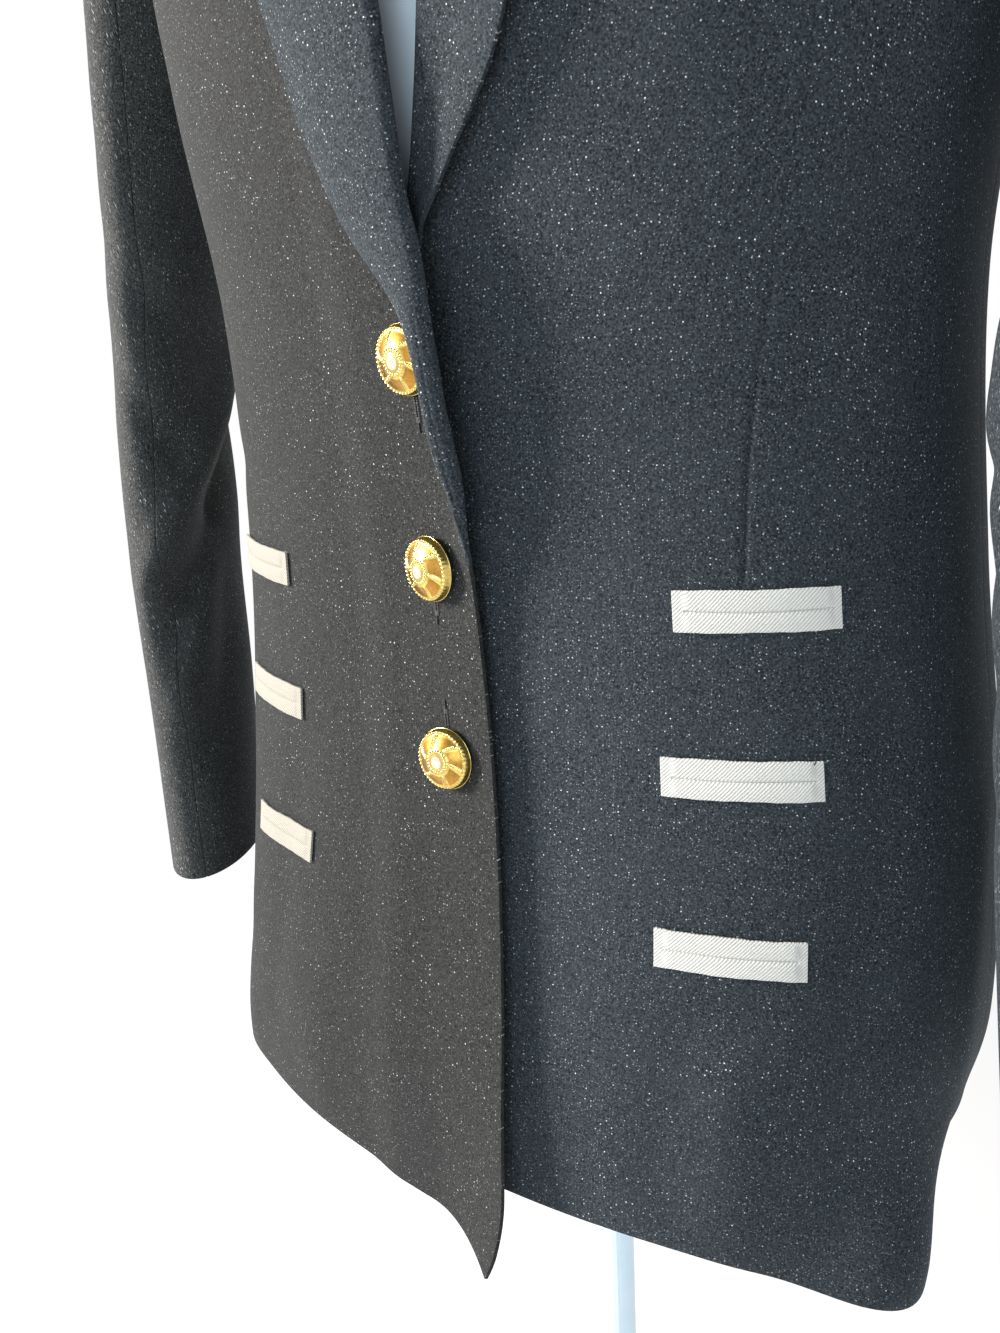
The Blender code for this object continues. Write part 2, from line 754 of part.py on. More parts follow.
def collar_line(share):
    """One cross section of the collar, from the stand's base over the roll to the edge."""
    side = -1 if share < 0 else 1
    place = (1 - abs(share)) * COLLAR[-1].place
    base_angle = side * math.radians(smooth_table(COLLAR, place, "base_angle"))
    base_level = smooth_table(COLLAR, place, "base_level")
    stand = smooth_table(COLLAR, place, "stand")
    edge_angle = side * math.radians(smooth_table(COLLAR, place, "edge_angle"))
    edge_level = smooth_table(COLLAR, place, "edge_level")
    base = body_point(base_angle, base_level, STAND_LIE)
    flat = Vector((base.x, base.y - CENTRE_Y, 0)).normalized()
    top = base + Vector((0, 0, stand)) + flat * (STAND_LEAN * stand)
    line = [base.lerp(top, i / STAND_ROWS) for i in range(STAND_ROWS + 1)]
    middle = top + flat * ROLL_RADIUS
    for i in range(1, ROLL_ROWS + 1):
        turn = ROLL_TURN * i / ROLL_ROWS
        line.append(middle - flat * math.cos(turn) * ROLL_RADIUS
                    + Vector((0, 0, math.sin(turn) * ROLL_RADIUS)))
    start = line[-1] - body_point(base_angle, base_level, FALL_LIE)
    for i in range(1, FALL_ROWS + 1):
        t = i / FALL_ROWS
        angle = base_angle + (edge_angle - base_angle) * t
        level = base_level + (edge_level - base_level) * t
        line.append(body_point(angle, level, FALL_LIE) + start * (1 - t) ** FALL_POWER)
    return line


def make_collar():
    """The collar: a stand round the neck and a fall that lies on the shoulders."""
    points = []
    for i in range(COLLAR_STATIONS):
        points.append(collar_line(-1 + 2 * i / (COLLAR_STATIONS - 1)))
    return add_wall("collar", points, grid_normals(points))


def armhole_point(side, turn):
    """A place on the sleeve's seam round the armhole. Turn 0 is at the shoulder."""
    cosine = math.cos(turn)
    sine = math.sin(turn)
    half = (SHOULDER - UNDERARM) / 2
    clear = WALL / 2 + SEAM_GAP
    low_share = smoothstep(-cosine)
    level = (SHOULDER + UNDERARM) / 2 + (half - clear * (1 + UNDER_CLEAR * low_share)) * cosine
    front = sine > 0
    reach = abs(sine) * ((ARMHOLE_FRONT if front else ARMHOLE_BACK) - CAP_INSET)
    angle = angle_for_depth(reach, level, front)
    return body_point(side * angle, level)


def arm_ring_point(side, table, height, turn):
    """A place on a sleeve's ring below the armhole. Turn 0 is outermost."""
    rows = [row._replace(height=-row.height) for row in table]
    value = {name: smooth_table(rows, -height, name) for name in ArmRing._fields[1:]}
    out_part = value["half_short"] * math.cos(turn)
    front_part = value["half_long"] * math.sin(turn)
    tip = math.radians(value["turn"])
    fold = 0.0
    for crease in SLEEVE_FOLDS:
        away = math.remainder(turn - math.radians(crease.angle), 2 * math.pi)
        round_share = math.exp(-(away / math.radians(crease.spread)) ** 2)
        middle = crease.height - crease.fall * away
        fold += crease.depth * round_share * math.exp(-((height - middle) / crease.half_height) ** 2)
    shrink = 1 - fold / math.hypot(out_part, front_part)
    out_part *= shrink
    front_part *= shrink
    x = value["out"] + out_part * math.cos(tip) - front_part * math.sin(tip)
    y = value["back"] - front_part * math.cos(tip) - out_part * math.sin(tip)
    return Vector((side * x, y, height))


def sleeve_point(side, table, turn, place):
    """A place on a sleeve, by its turn and its row down from the armhole over the cap."""
    top = table[0].height
    bottom = table[-1].height
    if place >= CAP_ROWS:
        share = (place - CAP_ROWS) / ARM_ROWS
        return arm_ring_point(side, table, top + (bottom - top) * share, turn)
    start = armhole_point(side, turn)
    end = arm_ring_point(side, table, top, turn)
    below = arm_ring_point(side, table, top - 0.01, turn)
    length = (end - start).length * CAP_FULLNESS
    leave = Vector((side, 0, -CAP_DROP - UNDER_DROP * smoothstep(-math.cos(turn)))) * length
    arrive = (below - end).normalized() * length
    t = place / CAP_ROWS
    return (
        start * (2 * t ** 3 - 3 * t ** 2 + 1)
        + leave * (t ** 3 - 2 * t ** 2 + t)
        + end * (3 * t ** 2 - 2 * t ** 3)
        + arrive * (t ** 3 - t ** 2)
    )


def sleeve_normal(side, table, turn, place):
    """The outward direction at a place on a sleeve."""
    ahead = sleeve_point(side, table, turn + 0.04, place)
    behind = sleeve_point(side, table, turn - 0.04, place)
    lower = sleeve_point(side, table, turn, min(place + 0.1, CAP_ROWS + ARM_ROWS))
    upper = sleeve_point(side, table, turn, max(place - 0.1, 0))
    return (ahead - behind).cross(lower - upper).normalized() * side


def make_sleeve(side, table, word):
    """The upper and the under piece of one sleeve."""
    gap = SEAM_GAP / SLEEVE_SEAM_RADIUS
    front = math.radians(FRONT_SEAM)
    back = math.radians(BACK_SEAM)
    step = math.radians(360 / SLEEVE_SEGMENTS)
    pieces = (
        ("sleeve_upper_" + word, back + gap - 2 * math.pi, front - gap),
        ("sleeve_under_" + word, front + gap, back - gap),
    )
    walls = []
    for name, start, end in pieces:
        count = round((end - start) / step)
        turns = [start + (end - start) * i / count for i in range(count + 1)]
        if side < 0:
            turns = turns[::-1]
        rows = range(CAP_ROWS + ARM_ROWS + 1)
        points = [[sleeve_point(side, table, turn, row) for turn in turns] for row in rows]
        normals = [[sleeve_normal(side, table, turn, row) for turn in turns] for row in rows]
        walls.append(add_wall(name, points, normals))
    return walls


def make_welt(side, word, welt):
    """A double welt pocket, two lips that meet at a slit, laid on a front."""
    start = angle_for_x(welt.right_x if side < 0 else welt.left_x, welt.height)
    radius = (body_middle(start + 0.1, welt.height) - body_middle(start, welt.height)).length / 0.1
    sweep = welt.length / radius
    out = WALL / 2 + REST_GAP + WELT_WALL / 2
    half = WELT_HEIGHT / 2
    slit = WELT_SLIT / 2
    rises = (-half, -half * 0.5, -slit, slit, half * 0.5, half)
    crowns = (0.0, 0.0003, 0.0, 0.0, 0.0003, 0.0)
    end_share = WELT_END / welt.length
    shares = [0.0]
    inner_columns = WELT_COLUMNS - 2
    for i in range(inner_columns + 1):
        shares.append(end_share + (1 - 2 * end_share) * i / inner_columns)
    shares.append(1.0)
    if side < 0:
        shares = shares[::-1]
    points = []
    normals = []
    for rise, crown in zip(rises, crowns):
        cells = []
        for share in shares:
            level = welt.height + rise - welt.drop * share
            cells.append((side * (start + sweep * share), level))
        points.append([body_point(*cell, out + crown) for cell in cells])
        normals.append([body_normal(*cell) for cell in cells])
    slit_cells = {(2, column) for column in range(1, WELT_COLUMNS - 1)}
    name = "welt_" + welt.label + "_" + word
    return add_wall(name, points, normals, WELT_WALL, slit_cells)


def fastening_frame(fastening):
    """Where a button sits on the right front, with its directions across and out."""
    distance = distance_for_x(fastening.x, fastening.height)
    here, across, outward = right_front_frame(fastening.height, distance)
    return here, across, outward


def place_matrix(here, across, outward):
    """A frame whose +Z is the outward direction and whose +Y is up along the cloth."""
    up = outward.cross(across).normalized()
    matrix = Matrix((across, up, outward)).transposed().to_4x4()
    matrix.translation = here
    return matrix


def cut_buttonholes(front, cutters):
    """Cut the three upright buttonholes through the right front."""
    front.modifiers.new("flat_faces", "TRIANGULATE")
    for fastening in FASTENINGS:
        here, across, outward = fastening_frame(fastening)
        bpy.ops.mesh.primitive_cube_add(size=1)
        cutter = bpy.context.object
        cutter.name = "buttonhole_cutter_" + fastening.label
        cutter.matrix_world = place_matrix(here, across, outward)
        cutter.scale = (BUTTONHOLE_WIDTH, BUTTONHOLE_HEIGHT, BUTTONHOLE_DEPTH)
        cutter.hide_render = True
        cutter.display_type = "WIRE"
        for collection in list(cutter.users_collection):
            collection.objects.unlink(cutter)
        cutters.objects.link(cutter)
        cut = front.modifiers.new("buttonhole_" + fastening.label, "BOOLEAN")
        cut.operation = "DIFFERENCE"
        cut.object = cutter


def make_button(fastening):
    """A domed button with a raised rim, on a shank that passes through its buttonhole."""
    here, across, outward = fastening_frame(fastening)
    seat = WALL / 2 + BUTTON_SEAT
    profile = [(place.radius, place.height + seat) for place in BUTTON_PROFILE]
    dome = add_turned("button_" + fastening.label, profile, BUTTON_SEGMENTS)
    tip = Matrix.Rotation(math.radians(-fastening.turn), 4, "Y")
    lift = Matrix.Translation((0, 0, seat))
    dome.matrix_world = place_matrix(here, across, outward) @ lift @ tip @ lift.inverted()
    left_angle = angle_for_x(fastening.x, fastening.height)
    left_face = body_point(left_angle, fastening.height, WALL / 2 + REST_GAP)
    depth = (here - left_face).dot(outward)
    bpy.ops.mesh.primitive_cube_add(size=1)
    shank = bpy.context.object
    shank.name = "shank_joiner_" + fastening.label
    top = seat + SHANK_ROOT
    middle = here + outward * ((top - depth) / 2)
    shank.matrix_world = place_matrix(middle, across, outward)
    shank.scale = (SHANK_WIDTH, SHANK_HEIGHT, top + depth)
    shank.hide_render = True
    shank.display_type = "WIRE"
    join = dome.modifiers.new("shank", "BOOLEAN")
    join.operation = "UNION"
    join.object = shank
    return dome, shank


def make_form():
    """The limbless dress form inside the jacket."""
    angles = [2 * math.pi * i / FORM_SEGMENTS for i in range(FORM_SEGMENTS)]
    rings = []
    for ring in FORM_UNDERSIDE:
        rings.append([form_bottom_point(angle, ring) for angle in angles])
    for row in range(FORM_LOW_ROWS + FORM_HIGH_ROWS + 1):
        level = FORM_BOTTOM + (UNDERARM - FORM_BOTTOM) * row / FORM_LOW_ROWS
        if row > FORM_LOW_ROWS:
            level = UNDERARM + (FORM_TOP - UNDERARM) * (row - FORM_LOW_ROWS) / FORM_HIGH_ROWS
        inset = smooth_table(FORM_INSETS, level, "inset")
        rings.append([body_still(angle, level, -inset) for angle in angles])
    for ring in FORM_NECK:
        rings.append([
            Vector((
                ring.radius * math.sin(angle),
                CENTRE_Y * NECK_SETBACK - ring.radius * math.cos(angle),
                ring.height,
            ))
            for angle in angles
        ])
    return add_rings("dress_form", rings)


def body_still(angle, level, out):
    """A place on the body without the hem's waves, for the form."""
    section = section_at(level)
    sine = math.sin(angle)
    cosine = math.cos(angle)
    push = wave_height(angle, level)
    point = body_point(angle, level, out)
    if push > 0:
        point -= Vector((sine * section.half_width, -cosine * section.front_depth, 0)).normalized() * push
    return point


def form_bottom_point(angle, ring):
    """A place on the rounded underside of the form."""
    rim = body_still(angle, FORM_BOTTOM, -FORM_INSETS[0].inset)
    depth = CENTRE_Y + (rim.y - CENTRE_Y) * ring.shrink
    return Vector((rim.x * ring.shrink, depth, FORM_BOTTOM - ring.drop))


def make_stand():
    """The round base, the hub on it, and the pole in the hub that carries the form."""
    hub_low = BASE_HEIGHT + SEAM_GAP
    hub_high = hub_low + HUB_HEIGHT
    hub_bore = POLE_RADIUS + SEAM_GAP
    base = add_turned("stand_base", (
        (0.0, BASE_HEIGHT),
        (BASE_RADIUS - 0.030, BASE_HEIGHT),
        (BASE_RADIUS - 0.006, BASE_HEIGHT - 0.0015),
        (BASE_RADIUS - 0.001, BASE_HEIGHT - 0.005),
        (BASE_RADIUS, BASE_HEIGHT - 0.008),
        (BASE_RADIUS, 0.002),
        (BASE_RADIUS - 0.002, 0.0),
        (0.0, 0.0),
    ), 36)
    hub = add_turned("stand_hub", (
        (hub_bore, hub_low),
        (HUB_RADIUS + 0.008, hub_low),
        (HUB_RADIUS + 0.008, hub_low + 0.001),
        (HUB_RADIUS, hub_low + 0.006),
        (HUB_RADIUS, hub_high - 0.003),
        (HUB_RADIUS - 0.003, hub_high),
        (hub_bore, hub_high),
        (hub_bore, hub_low),
    ), 24)
    head = FORM_BOTTOM - FORM_UNDERSIDE[0].drop - SEAM_GAP
    bpy.ops.mesh.primitive_cylinder_add(
        vertices=24,
        radius=POLE_RADIUS,
        depth=head - hub_low,
        location=(0, 0, (head + hub_low) / 2),
    )
    pole = bpy.context.object
    pole.name = "stand_pole"
    return base, hub, pole


def material(name, colour, roughness, metallic=0.0):
    """A plain material of one colour."""
    surface = bpy.data.materials.new(name)
    surface.use_nodes = True
    shader = surface.node_tree.nodes["Principled BSDF"]
    shader.inputs["Base Color"].default_value = (*colour, 1.0)
    shader.inputs["Roughness"].default_value = roughness
    shader.inputs["Metallic"].default_value = metallic
    return surface


def main():
    """Build the jacket, the form and the stand."""
    clear_scene()
    cloth = material("black_crepe", (0.020, 0.021, 0.024), 0.85)
    ivory = material("ivory_twill", (0.80, 0.76, 0.70), 0.80)
    gold = material("gold_metal", (0.80, 0.58, 0.20), 0.25, 1.0)
    white = material("white_form", (0.85, 0.87, 0.90), 0.55)
    enamel = material("white_paint", (0.86, 0.87, 0.88), 0.35)
    parts = bpy.data.collections.new("blazer_on_dress_form")
    cutters = bpy.data.collections.new("cutters")
    bpy.context.scene.collection.children.link(parts)
    bpy.context.scene.collection.children.link(cutters)
    built = []
    front_right = make_front_right()
    front_left = make_front_left()
    cut_buttonholes(front_right, cutters)
    built += [(front_right, cloth), (front_left, cloth)]
    built += [(wall, cloth) for wall in make_backs()]
    built.append((make_lapel("lapel_right", RIGHT_LAPEL, RIGHT_EDGE, -1), cloth))
    built.append((make_lapel("lapel_left", LEFT_LAPEL, LEFT_EDGE, 1), cloth))
    built.append((make_collar(), cloth))
    built += [(wall, cloth) for wall in make_sleeve(-1, RIGHT_ARM, "right")]
    built += [(wall, cloth) for wall in make_sleeve(1, LEFT_ARM, "left")]
    for side, word in ((-1, "right"), (1, "left")):
        for welt in WELTS:
            built.append((make_welt(side, word, welt), ivory))
    for fastening in FASTENINGS:
        button, shank = make_button(fastening)
        built.append((button, gold))
        for collection in list(shank.users_collection):
            collection.objects.unlink(shank)
        cutters.objects.link(shank)
    built.append((make_form(), white))
    built += [(piece, enamel) for piece in make_stand()]
    for thing, surface in built:
        thing.data.materials.clear()
        thing.data.materials.append(surface)
        for collection in list(thing.users_collection):
            collection.objects.unlink(thing)
        parts.objects.link(thing)


main()
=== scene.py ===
"""Looks for a tailored crepe blazer on a limbless dress form with a pole and a round base.

Metres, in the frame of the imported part: +Z up, the front faces -Y, the wearer's left is +X.
Each cloth piece is a fine shell on its solid's form. The tables of the form repeat the
part's own driving sizes, and the creases, darts and sewing are added here. A place on a
piece is u across it and v up it or along it, each from 0 to 1.
"""
import math
from collections import namedtuple

import bmesh
import bpy
import numpy as np
from mathutils import Matrix, Vector


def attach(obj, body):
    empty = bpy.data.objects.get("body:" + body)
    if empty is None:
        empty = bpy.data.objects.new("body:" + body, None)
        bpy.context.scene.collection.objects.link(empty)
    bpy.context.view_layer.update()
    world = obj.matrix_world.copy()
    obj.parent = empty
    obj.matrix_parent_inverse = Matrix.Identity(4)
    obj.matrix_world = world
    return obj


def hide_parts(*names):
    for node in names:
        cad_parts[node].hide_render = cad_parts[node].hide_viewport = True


# Driving sizes of the part
WALL = 0.0020
SEAM_GAP = 0.0003
REST_GAP = 0.0005
UNDERARM = 1.225
SHOULDER = 1.353
NECK = 1.396
FREE_HEM = 0.800
CENTRE_Y = -0.016

# How thick the cloth shows, and how round its edges are
CLOTH = 0.0018
EDGE_ROUND = 0.0006
WELT_WALL = 0.0011
SEWN_GAP = 0.00006

# Sections of the body from the hem to the neck
Section = namedtuple("Section", "side front back half_width front_depth back_depth squareness")
SECTIONS = (
    Section(0.600, 0.600, 0.600, 0.182, 0.140, 0.138, 2.9),
    Section(0.660, 0.660, 0.660, 0.187, 0.139, 0.140, 2.8),
    Section(0.720, 0.720, 0.720, 0.197, 0.137, 0.143, 2.5),
    Section(0.830, 0.830, 0.830, 0.194, 0.118, 0.135, 2.3),
    Section(0.940, 0.940, 0.940, 0.181, 0.110, 0.114, 2.3),
    Section(1.050, 1.050, 1.050, 0.173, 0.116, 0.103, 2.3),
    Section(1.140, 1.140, 1.140, 0.180, 0.127, 0.109, 2.3),
    Section(1.225, 1.225, 1.225, 0.181, 0.129, 0.116, 2.35),
    Section(1.265, 1.262, 1.264, 0.183, 0.124, 0.117, 2.4),
    Section(1.315, 1.294, 1.305, 0.188, 0.113, 0.113, 2.5),
    Section(1.353, 1.320, 1.338, 0.191, 0.101, 0.104, 2.5),
    Section(1.369, 1.341, 1.362, 0.156, 0.089, 0.093, 2.3),
    Section(1.383, 1.358, 1.380, 0.116, 0.078, 0.082, 2.1),
    Section(1.396, 1.372, 1.392, 0.078, 0.068, 0.072, 2.0),
)

# Hem height round the body, by angle in degrees
HemHeight = namedtuple("HemHeight", "angle height")
RIGHT_HEM = (
    HemHeight(-90, 0.660),
    HemHeight(-55, 0.661),
    HemHeight(-20, 0.661),
    HemHeight(-3, 0.656),
    HemHeight(8, 0.646),
)
LEFT_HEM = (
    HemHeight(-8, 0.676),
    HemHeight(20, 0.675),
    HemHeight(42, 0.6655),
    HemHeight(58, 0.6545),
    HemHeight(66, 0.6505),
    HemHeight(72, 0.6515),
    HemHeight(80, 0.6545),
    HemHeight(90, 0.6580),
)
BACK_HEM = (
    HemHeight(90, 0.658),
    HemHeight(130, 0.661),
    HemHeight(180, 0.663),
    HemHeight(230, 0.661),
    HemHeight(270, 0.660),
)

# Waves in which the free hem stands off the body
Wave = namedtuple("Wave", "angle spread amount reach")
WAVES = (
    Wave(64, 15, 0.022, 0.070),
    Wave(84, 9, -0.010, 0.085),
    Wave(-57, 15, 0.010, 0.080),
    Wave(132, 22, 0.012, 0.150),
    Wave(-138, 20, 0.010, 0.140),
)
WAVE_FOOT = 0.655

# Where each front's edge or roll line runs by level, and how the right one stands off
UNDERLAP = -0.020
EdgePlace = namedtuple("EdgePlace", "level x lift stand")
RIGHT_EDGE = (
    EdgePlace(0.640, 0.031, 0.0200, 0.0),
    EdgePlace(0.658, 0.037, 0.0150, 0.0),
    EdgePlace(0.685, 0.039, 0.0090, 0.0),
    EdgePlace(0.747, 0.036, 0.0040, 0.0),
    EdgePlace(0.811, 0.031, 0.0030, 0.0),
    EdgePlace(0.871, 0.027, 0.0030, 0.0),
    EdgePlace(0.917, 0.0235, 0.0030, 0.0),
    EdgePlace(0.952, 0.0226, 0.0060, 0.2),
    EdgePlace(0.977, 0.0221, 0.0110, 0.7),
    EdgePlace(1.010, 0.0195, 0.0155, 1.0),
    EdgePlace(1.037, 0.0185, 0.0170, 1.0),
    EdgePlace(1.071, 0.0155, 0.0140, 0.8),
    EdgePlace(1.085, 0.0120, 0.0115, 0.5),
    EdgePlace(1.116, 0.0095, 0.0080, 0.0),
    EdgePlace(1.145, 0.0070, 0.0065, 0.0),
    EdgePlace(1.180, 0.0010, 0.0055, 0.0),
    EdgePlace(1.225, -0.0120, 0.0050, 0.0),
    EdgePlace(1.290, -0.0340, 0.0035, 0.0),
    EdgePlace(1.353, -0.0550, 0.0015, 0.0),
    EdgePlace(1.396, -0.0670, 0.0000, 0.0),
)
LEFT_EDGE = (
    EdgePlace(0.640, UNDERLAP, 0.0, 0.0),
    EdgePlace(1.020, UNDERLAP, 0.0, 0.0),
    EdgePlace(1.045, -0.0120, 0.0, 0.0),
    EdgePlace(1.071, 0.0050, 0.0, 0.0),
    EdgePlace(1.116, 0.0200, 0.0, 0.0),
    EdgePlace(1.160, 0.0290, 0.0, 0.0),
    EdgePlace(1.225, 0.0390, 0.0, 0.0),
    EdgePlace(1.290, 0.0490, 0.0, 0.0),
    EdgePlace(1.353, 0.0600, 0.0, 0.0),
    EdgePlace(1.396, 0.0670, 0.0, 0.0),
)
EdgeShape = namedtuple("EdgeShape", "distance inward share")
STANDING = (
    EdgeShape(0.000, 0.0000, 1.00),
    EdgeShape(0.004, 0.0012, 0.77),
    EdgeShape(0.008, 0.0026, 0.55),
    EdgeShape(0.013, 0.0052, 0.30),
    EdgeShape(0.020, 0.0115, 0.16),
    EdgeShape(0.030, 0.0213, 0.08),
    EdgeShape(0.042, 0.0331, 0.03),
    EdgeShape(0.060, 0.0511, 0.00),
)
LYING_REACH = 0.044
LYING_POWER = 1.6
EDGE_SEARCH = 0.12
EDGE_PUFF = 0.0028
EDGE_STRIP = 0.078
OVERLAP_LIFT = WALL + 0.0009
OVERLAP_FROM = -0.050
OVERLAP_FULL = -0.026
OVERLAP_FADE = 1.10
OVERLAP_GONE = 1.18

# Lapels: the roll line's level, and the level, x and rise of the leaf's outer edge
LapelRow = namedtuple("LapelRow", "place roll_level outer_level outer_x outer_rise")
LIE = WALL + 0.0015
RIGHT_LAPEL = (
    LapelRow(-2, 0.9550, 0.9548, 0.0222, 0.0030),
    LapelRow(-1, 0.9730, 0.9722, 0.0208, 0.0105),
    LapelRow(0, 0.9890, 0.9880, 0.0180, 0.0150),
    LapelRow(1, 1.0050, 1.0030, 0.0160, 0.0175),
    LapelRow(2, 1.0310, 1.0290, 0.0146, 0.0190),
    LapelRow(3, 1.0480, 1.0440, 0.0110, 0.0180),
    LapelRow(4, 1.0640, 1.0565, 0.0035, 0.0150),
    LapelRow(5, 1.0850, 1.0790, -0.0150, 0.0098),
    LapelRow(6, 1.1100, 1.1080, -0.0290, 0.0058),
    LapelRow(7, 1.1400, 1.1390, -0.0390, LIE),
    LapelRow(8, 1.1750, 1.1690, -0.0520, LIE),
    LapelRow(9, 1.2200, 1.2040, -0.0700, LIE),
    LapelRow(10, 1.2700, 1.2400, -0.0880, LIE),
    LapelRow(11, 1.3250, 1.2780, -0.1040, LIE),
    LapelRow(12, 1.3770, 1.3120, -0.1180, LIE),
)
LEFT_LAPEL = (
    LapelRow(0, 1.0680, 1.0675, 0.0100, LIE),
    LapelRow(1, 1.0800, 1.0770, 0.0170, LIE),
    LapelRow(2, 1.1000, 1.0950, 0.0310, LIE),
    LapelRow(3, 1.1300, 1.1270, 0.0530, LIE),
    LapelRow(4, 1.1750, 1.1690, 0.0660, LIE),
    LapelRow(5, 1.2200, 1.2040, 0.0780, LIE),
    LapelRow(6, 1.2700, 1.2400, 0.0920, LIE),
    LapelRow(7, 1.3250, 1.2780, 0.1060, LIE),
    LapelRow(8, 1.3770, 1.3120, 0.1180, LIE),
)
LEAF_PAST = WALL + SEAM_GAP + 0.0010
LEAF_TURN = 0.10
LEAF_CROWN = 0.0010
LEAF_STAND_OFF = 0.0060
LEAF_SINK = 0.0037
LEAF_TAPER = 0.17

# Collar from the gorge to the centre back
CollarRow = namedtuple("CollarRow", "place base_angle base_level stand edge_angle edge_level")
COLLAR = (
    CollarRow(0, 28, 1.3805, 0.004, 24.2, 1.3440),
    CollarRow(1, 43, 1.3900, 0.007, 35.0, 1.3580),
    CollarRow(2, 62, 1.3940, 0.013, 60.0, 1.3710),
    CollarRow(3, 90, 1.3940, 0.022, 90.0, 1.3770),
    CollarRow(4, 132, 1.3940, 0.028, 130.0, 1.3770),
    CollarRow(5, 180, 1.3940, 0.030, 180.0, 1.3770),
)
FALL_LIE = 0.0050
STAND_LIE = WALL * 1.2 + SEAM_GAP
STAND_LEAN = 0.10
ROLL_RADIUS = 0.0030
ROLL_TURN = 0.85 * math.pi
FALL_POWER = 1.4
STAND_SHARE = 0.25
ROLL_SHARE = 0.33

# Armhole and sleeves
ARMHOLE_FRONT = 0.056
ARMHOLE_BACK = 0.062
ArmRing = namedtuple("ArmRing", "height out back half_long half_short turn")
RIGHT_ARM = (
    ArmRing(1.180, 0.2270, -0.012, 0.066, 0.0310, 8),
    ArmRing(1.110, 0.2390, -0.022, 0.061, 0.0280, 16),
    ArmRing(1.020, 0.2495, -0.034, 0.056, 0.0250, 25),
    ArmRing(0.930, 0.2485, -0.045, 0.053, 0.0240, 25),
    ArmRing(0.840, 0.2450, -0.052, 0.051, 0.0235, 26),
    ArmRing(0.738, 0.2430, -0.060, 0.048, 0.0235, 29),
)
LEFT_ARM = (
    ArmRing(1.180, 0.2200, -0.012, 0.066, 0.0310, 7),
    ArmRing(1.110, 0.2190, -0.022, 0.061, 0.0280, 13),
    ArmRing(1.020, 0.2185, -0.034, 0.056, 0.0250, 19),
    ArmRing(0.930, 0.2255, -0.045, 0.053, 0.0240, 20),
    ArmRing(0.840, 0.2350, -0.052, 0.051, 0.0235, 21),
    ArmRing(0.738, 0.2473, -0.060, 0.048, 0.0235, 24),
)
FRONT_SEAM = 108
BACK_SEAM = 252
SLEEVE_SEAM_RADIUS = 0.028
CAP_SHARE = 5 / 14
CAP_FULLNESS = 1.15
CAP_DROP = 0.12
UNDER_DROP = 0.50
UNDER_CLEAR = 1.1
SleeveFold = namedtuple("SleeveFold", "height fall half_height angle spread depth")
SLEEVE_FOLDS = (
    SleeveFold(1.055, 0.030, 0.018, 120, 55, 0.0050),
    SleeveFold(0.985, 0.045, 0.016, 125, 50, 0.0045),
    SleeveFold(0.915, 0.020, 0.016, 120, 45, 0.0030),
    SleeveFold(1.140, -0.030, 0.020, 250, 50, 0.0040),
)

# Welt pockets and buttons
Welt = namedtuple("Welt", "label height right_x left_x length drop")
WELTS = (
    Welt("upper", 0.9385, 0.0955, 0.0955, 0.064, 0.0000),
    Welt("middle", 0.8745, 0.0920, 0.0925, 0.064, 0.0010),
    Welt("lower", 0.8050, 0.0870, 0.0930, 0.062, 0.0030),
)
WELT_HEIGHT = 0.0156
WELT_END = 0.0042
WELT_DIP = 0.0011
WELT_PLUMP = 0.0005
Fastening = namedtuple("Fastening", "label height x turn")
FASTENINGS = (
    Fastening("upper", 1.031, 0.0005, 3),
    Fastening("middle", 0.951, 0.0020, 4),
    Fastening("lower", 0.871, 0.0045, -5),
)
BUTTON_RADIUS = 0.0132
BUTTON_SEAT = 0.0022

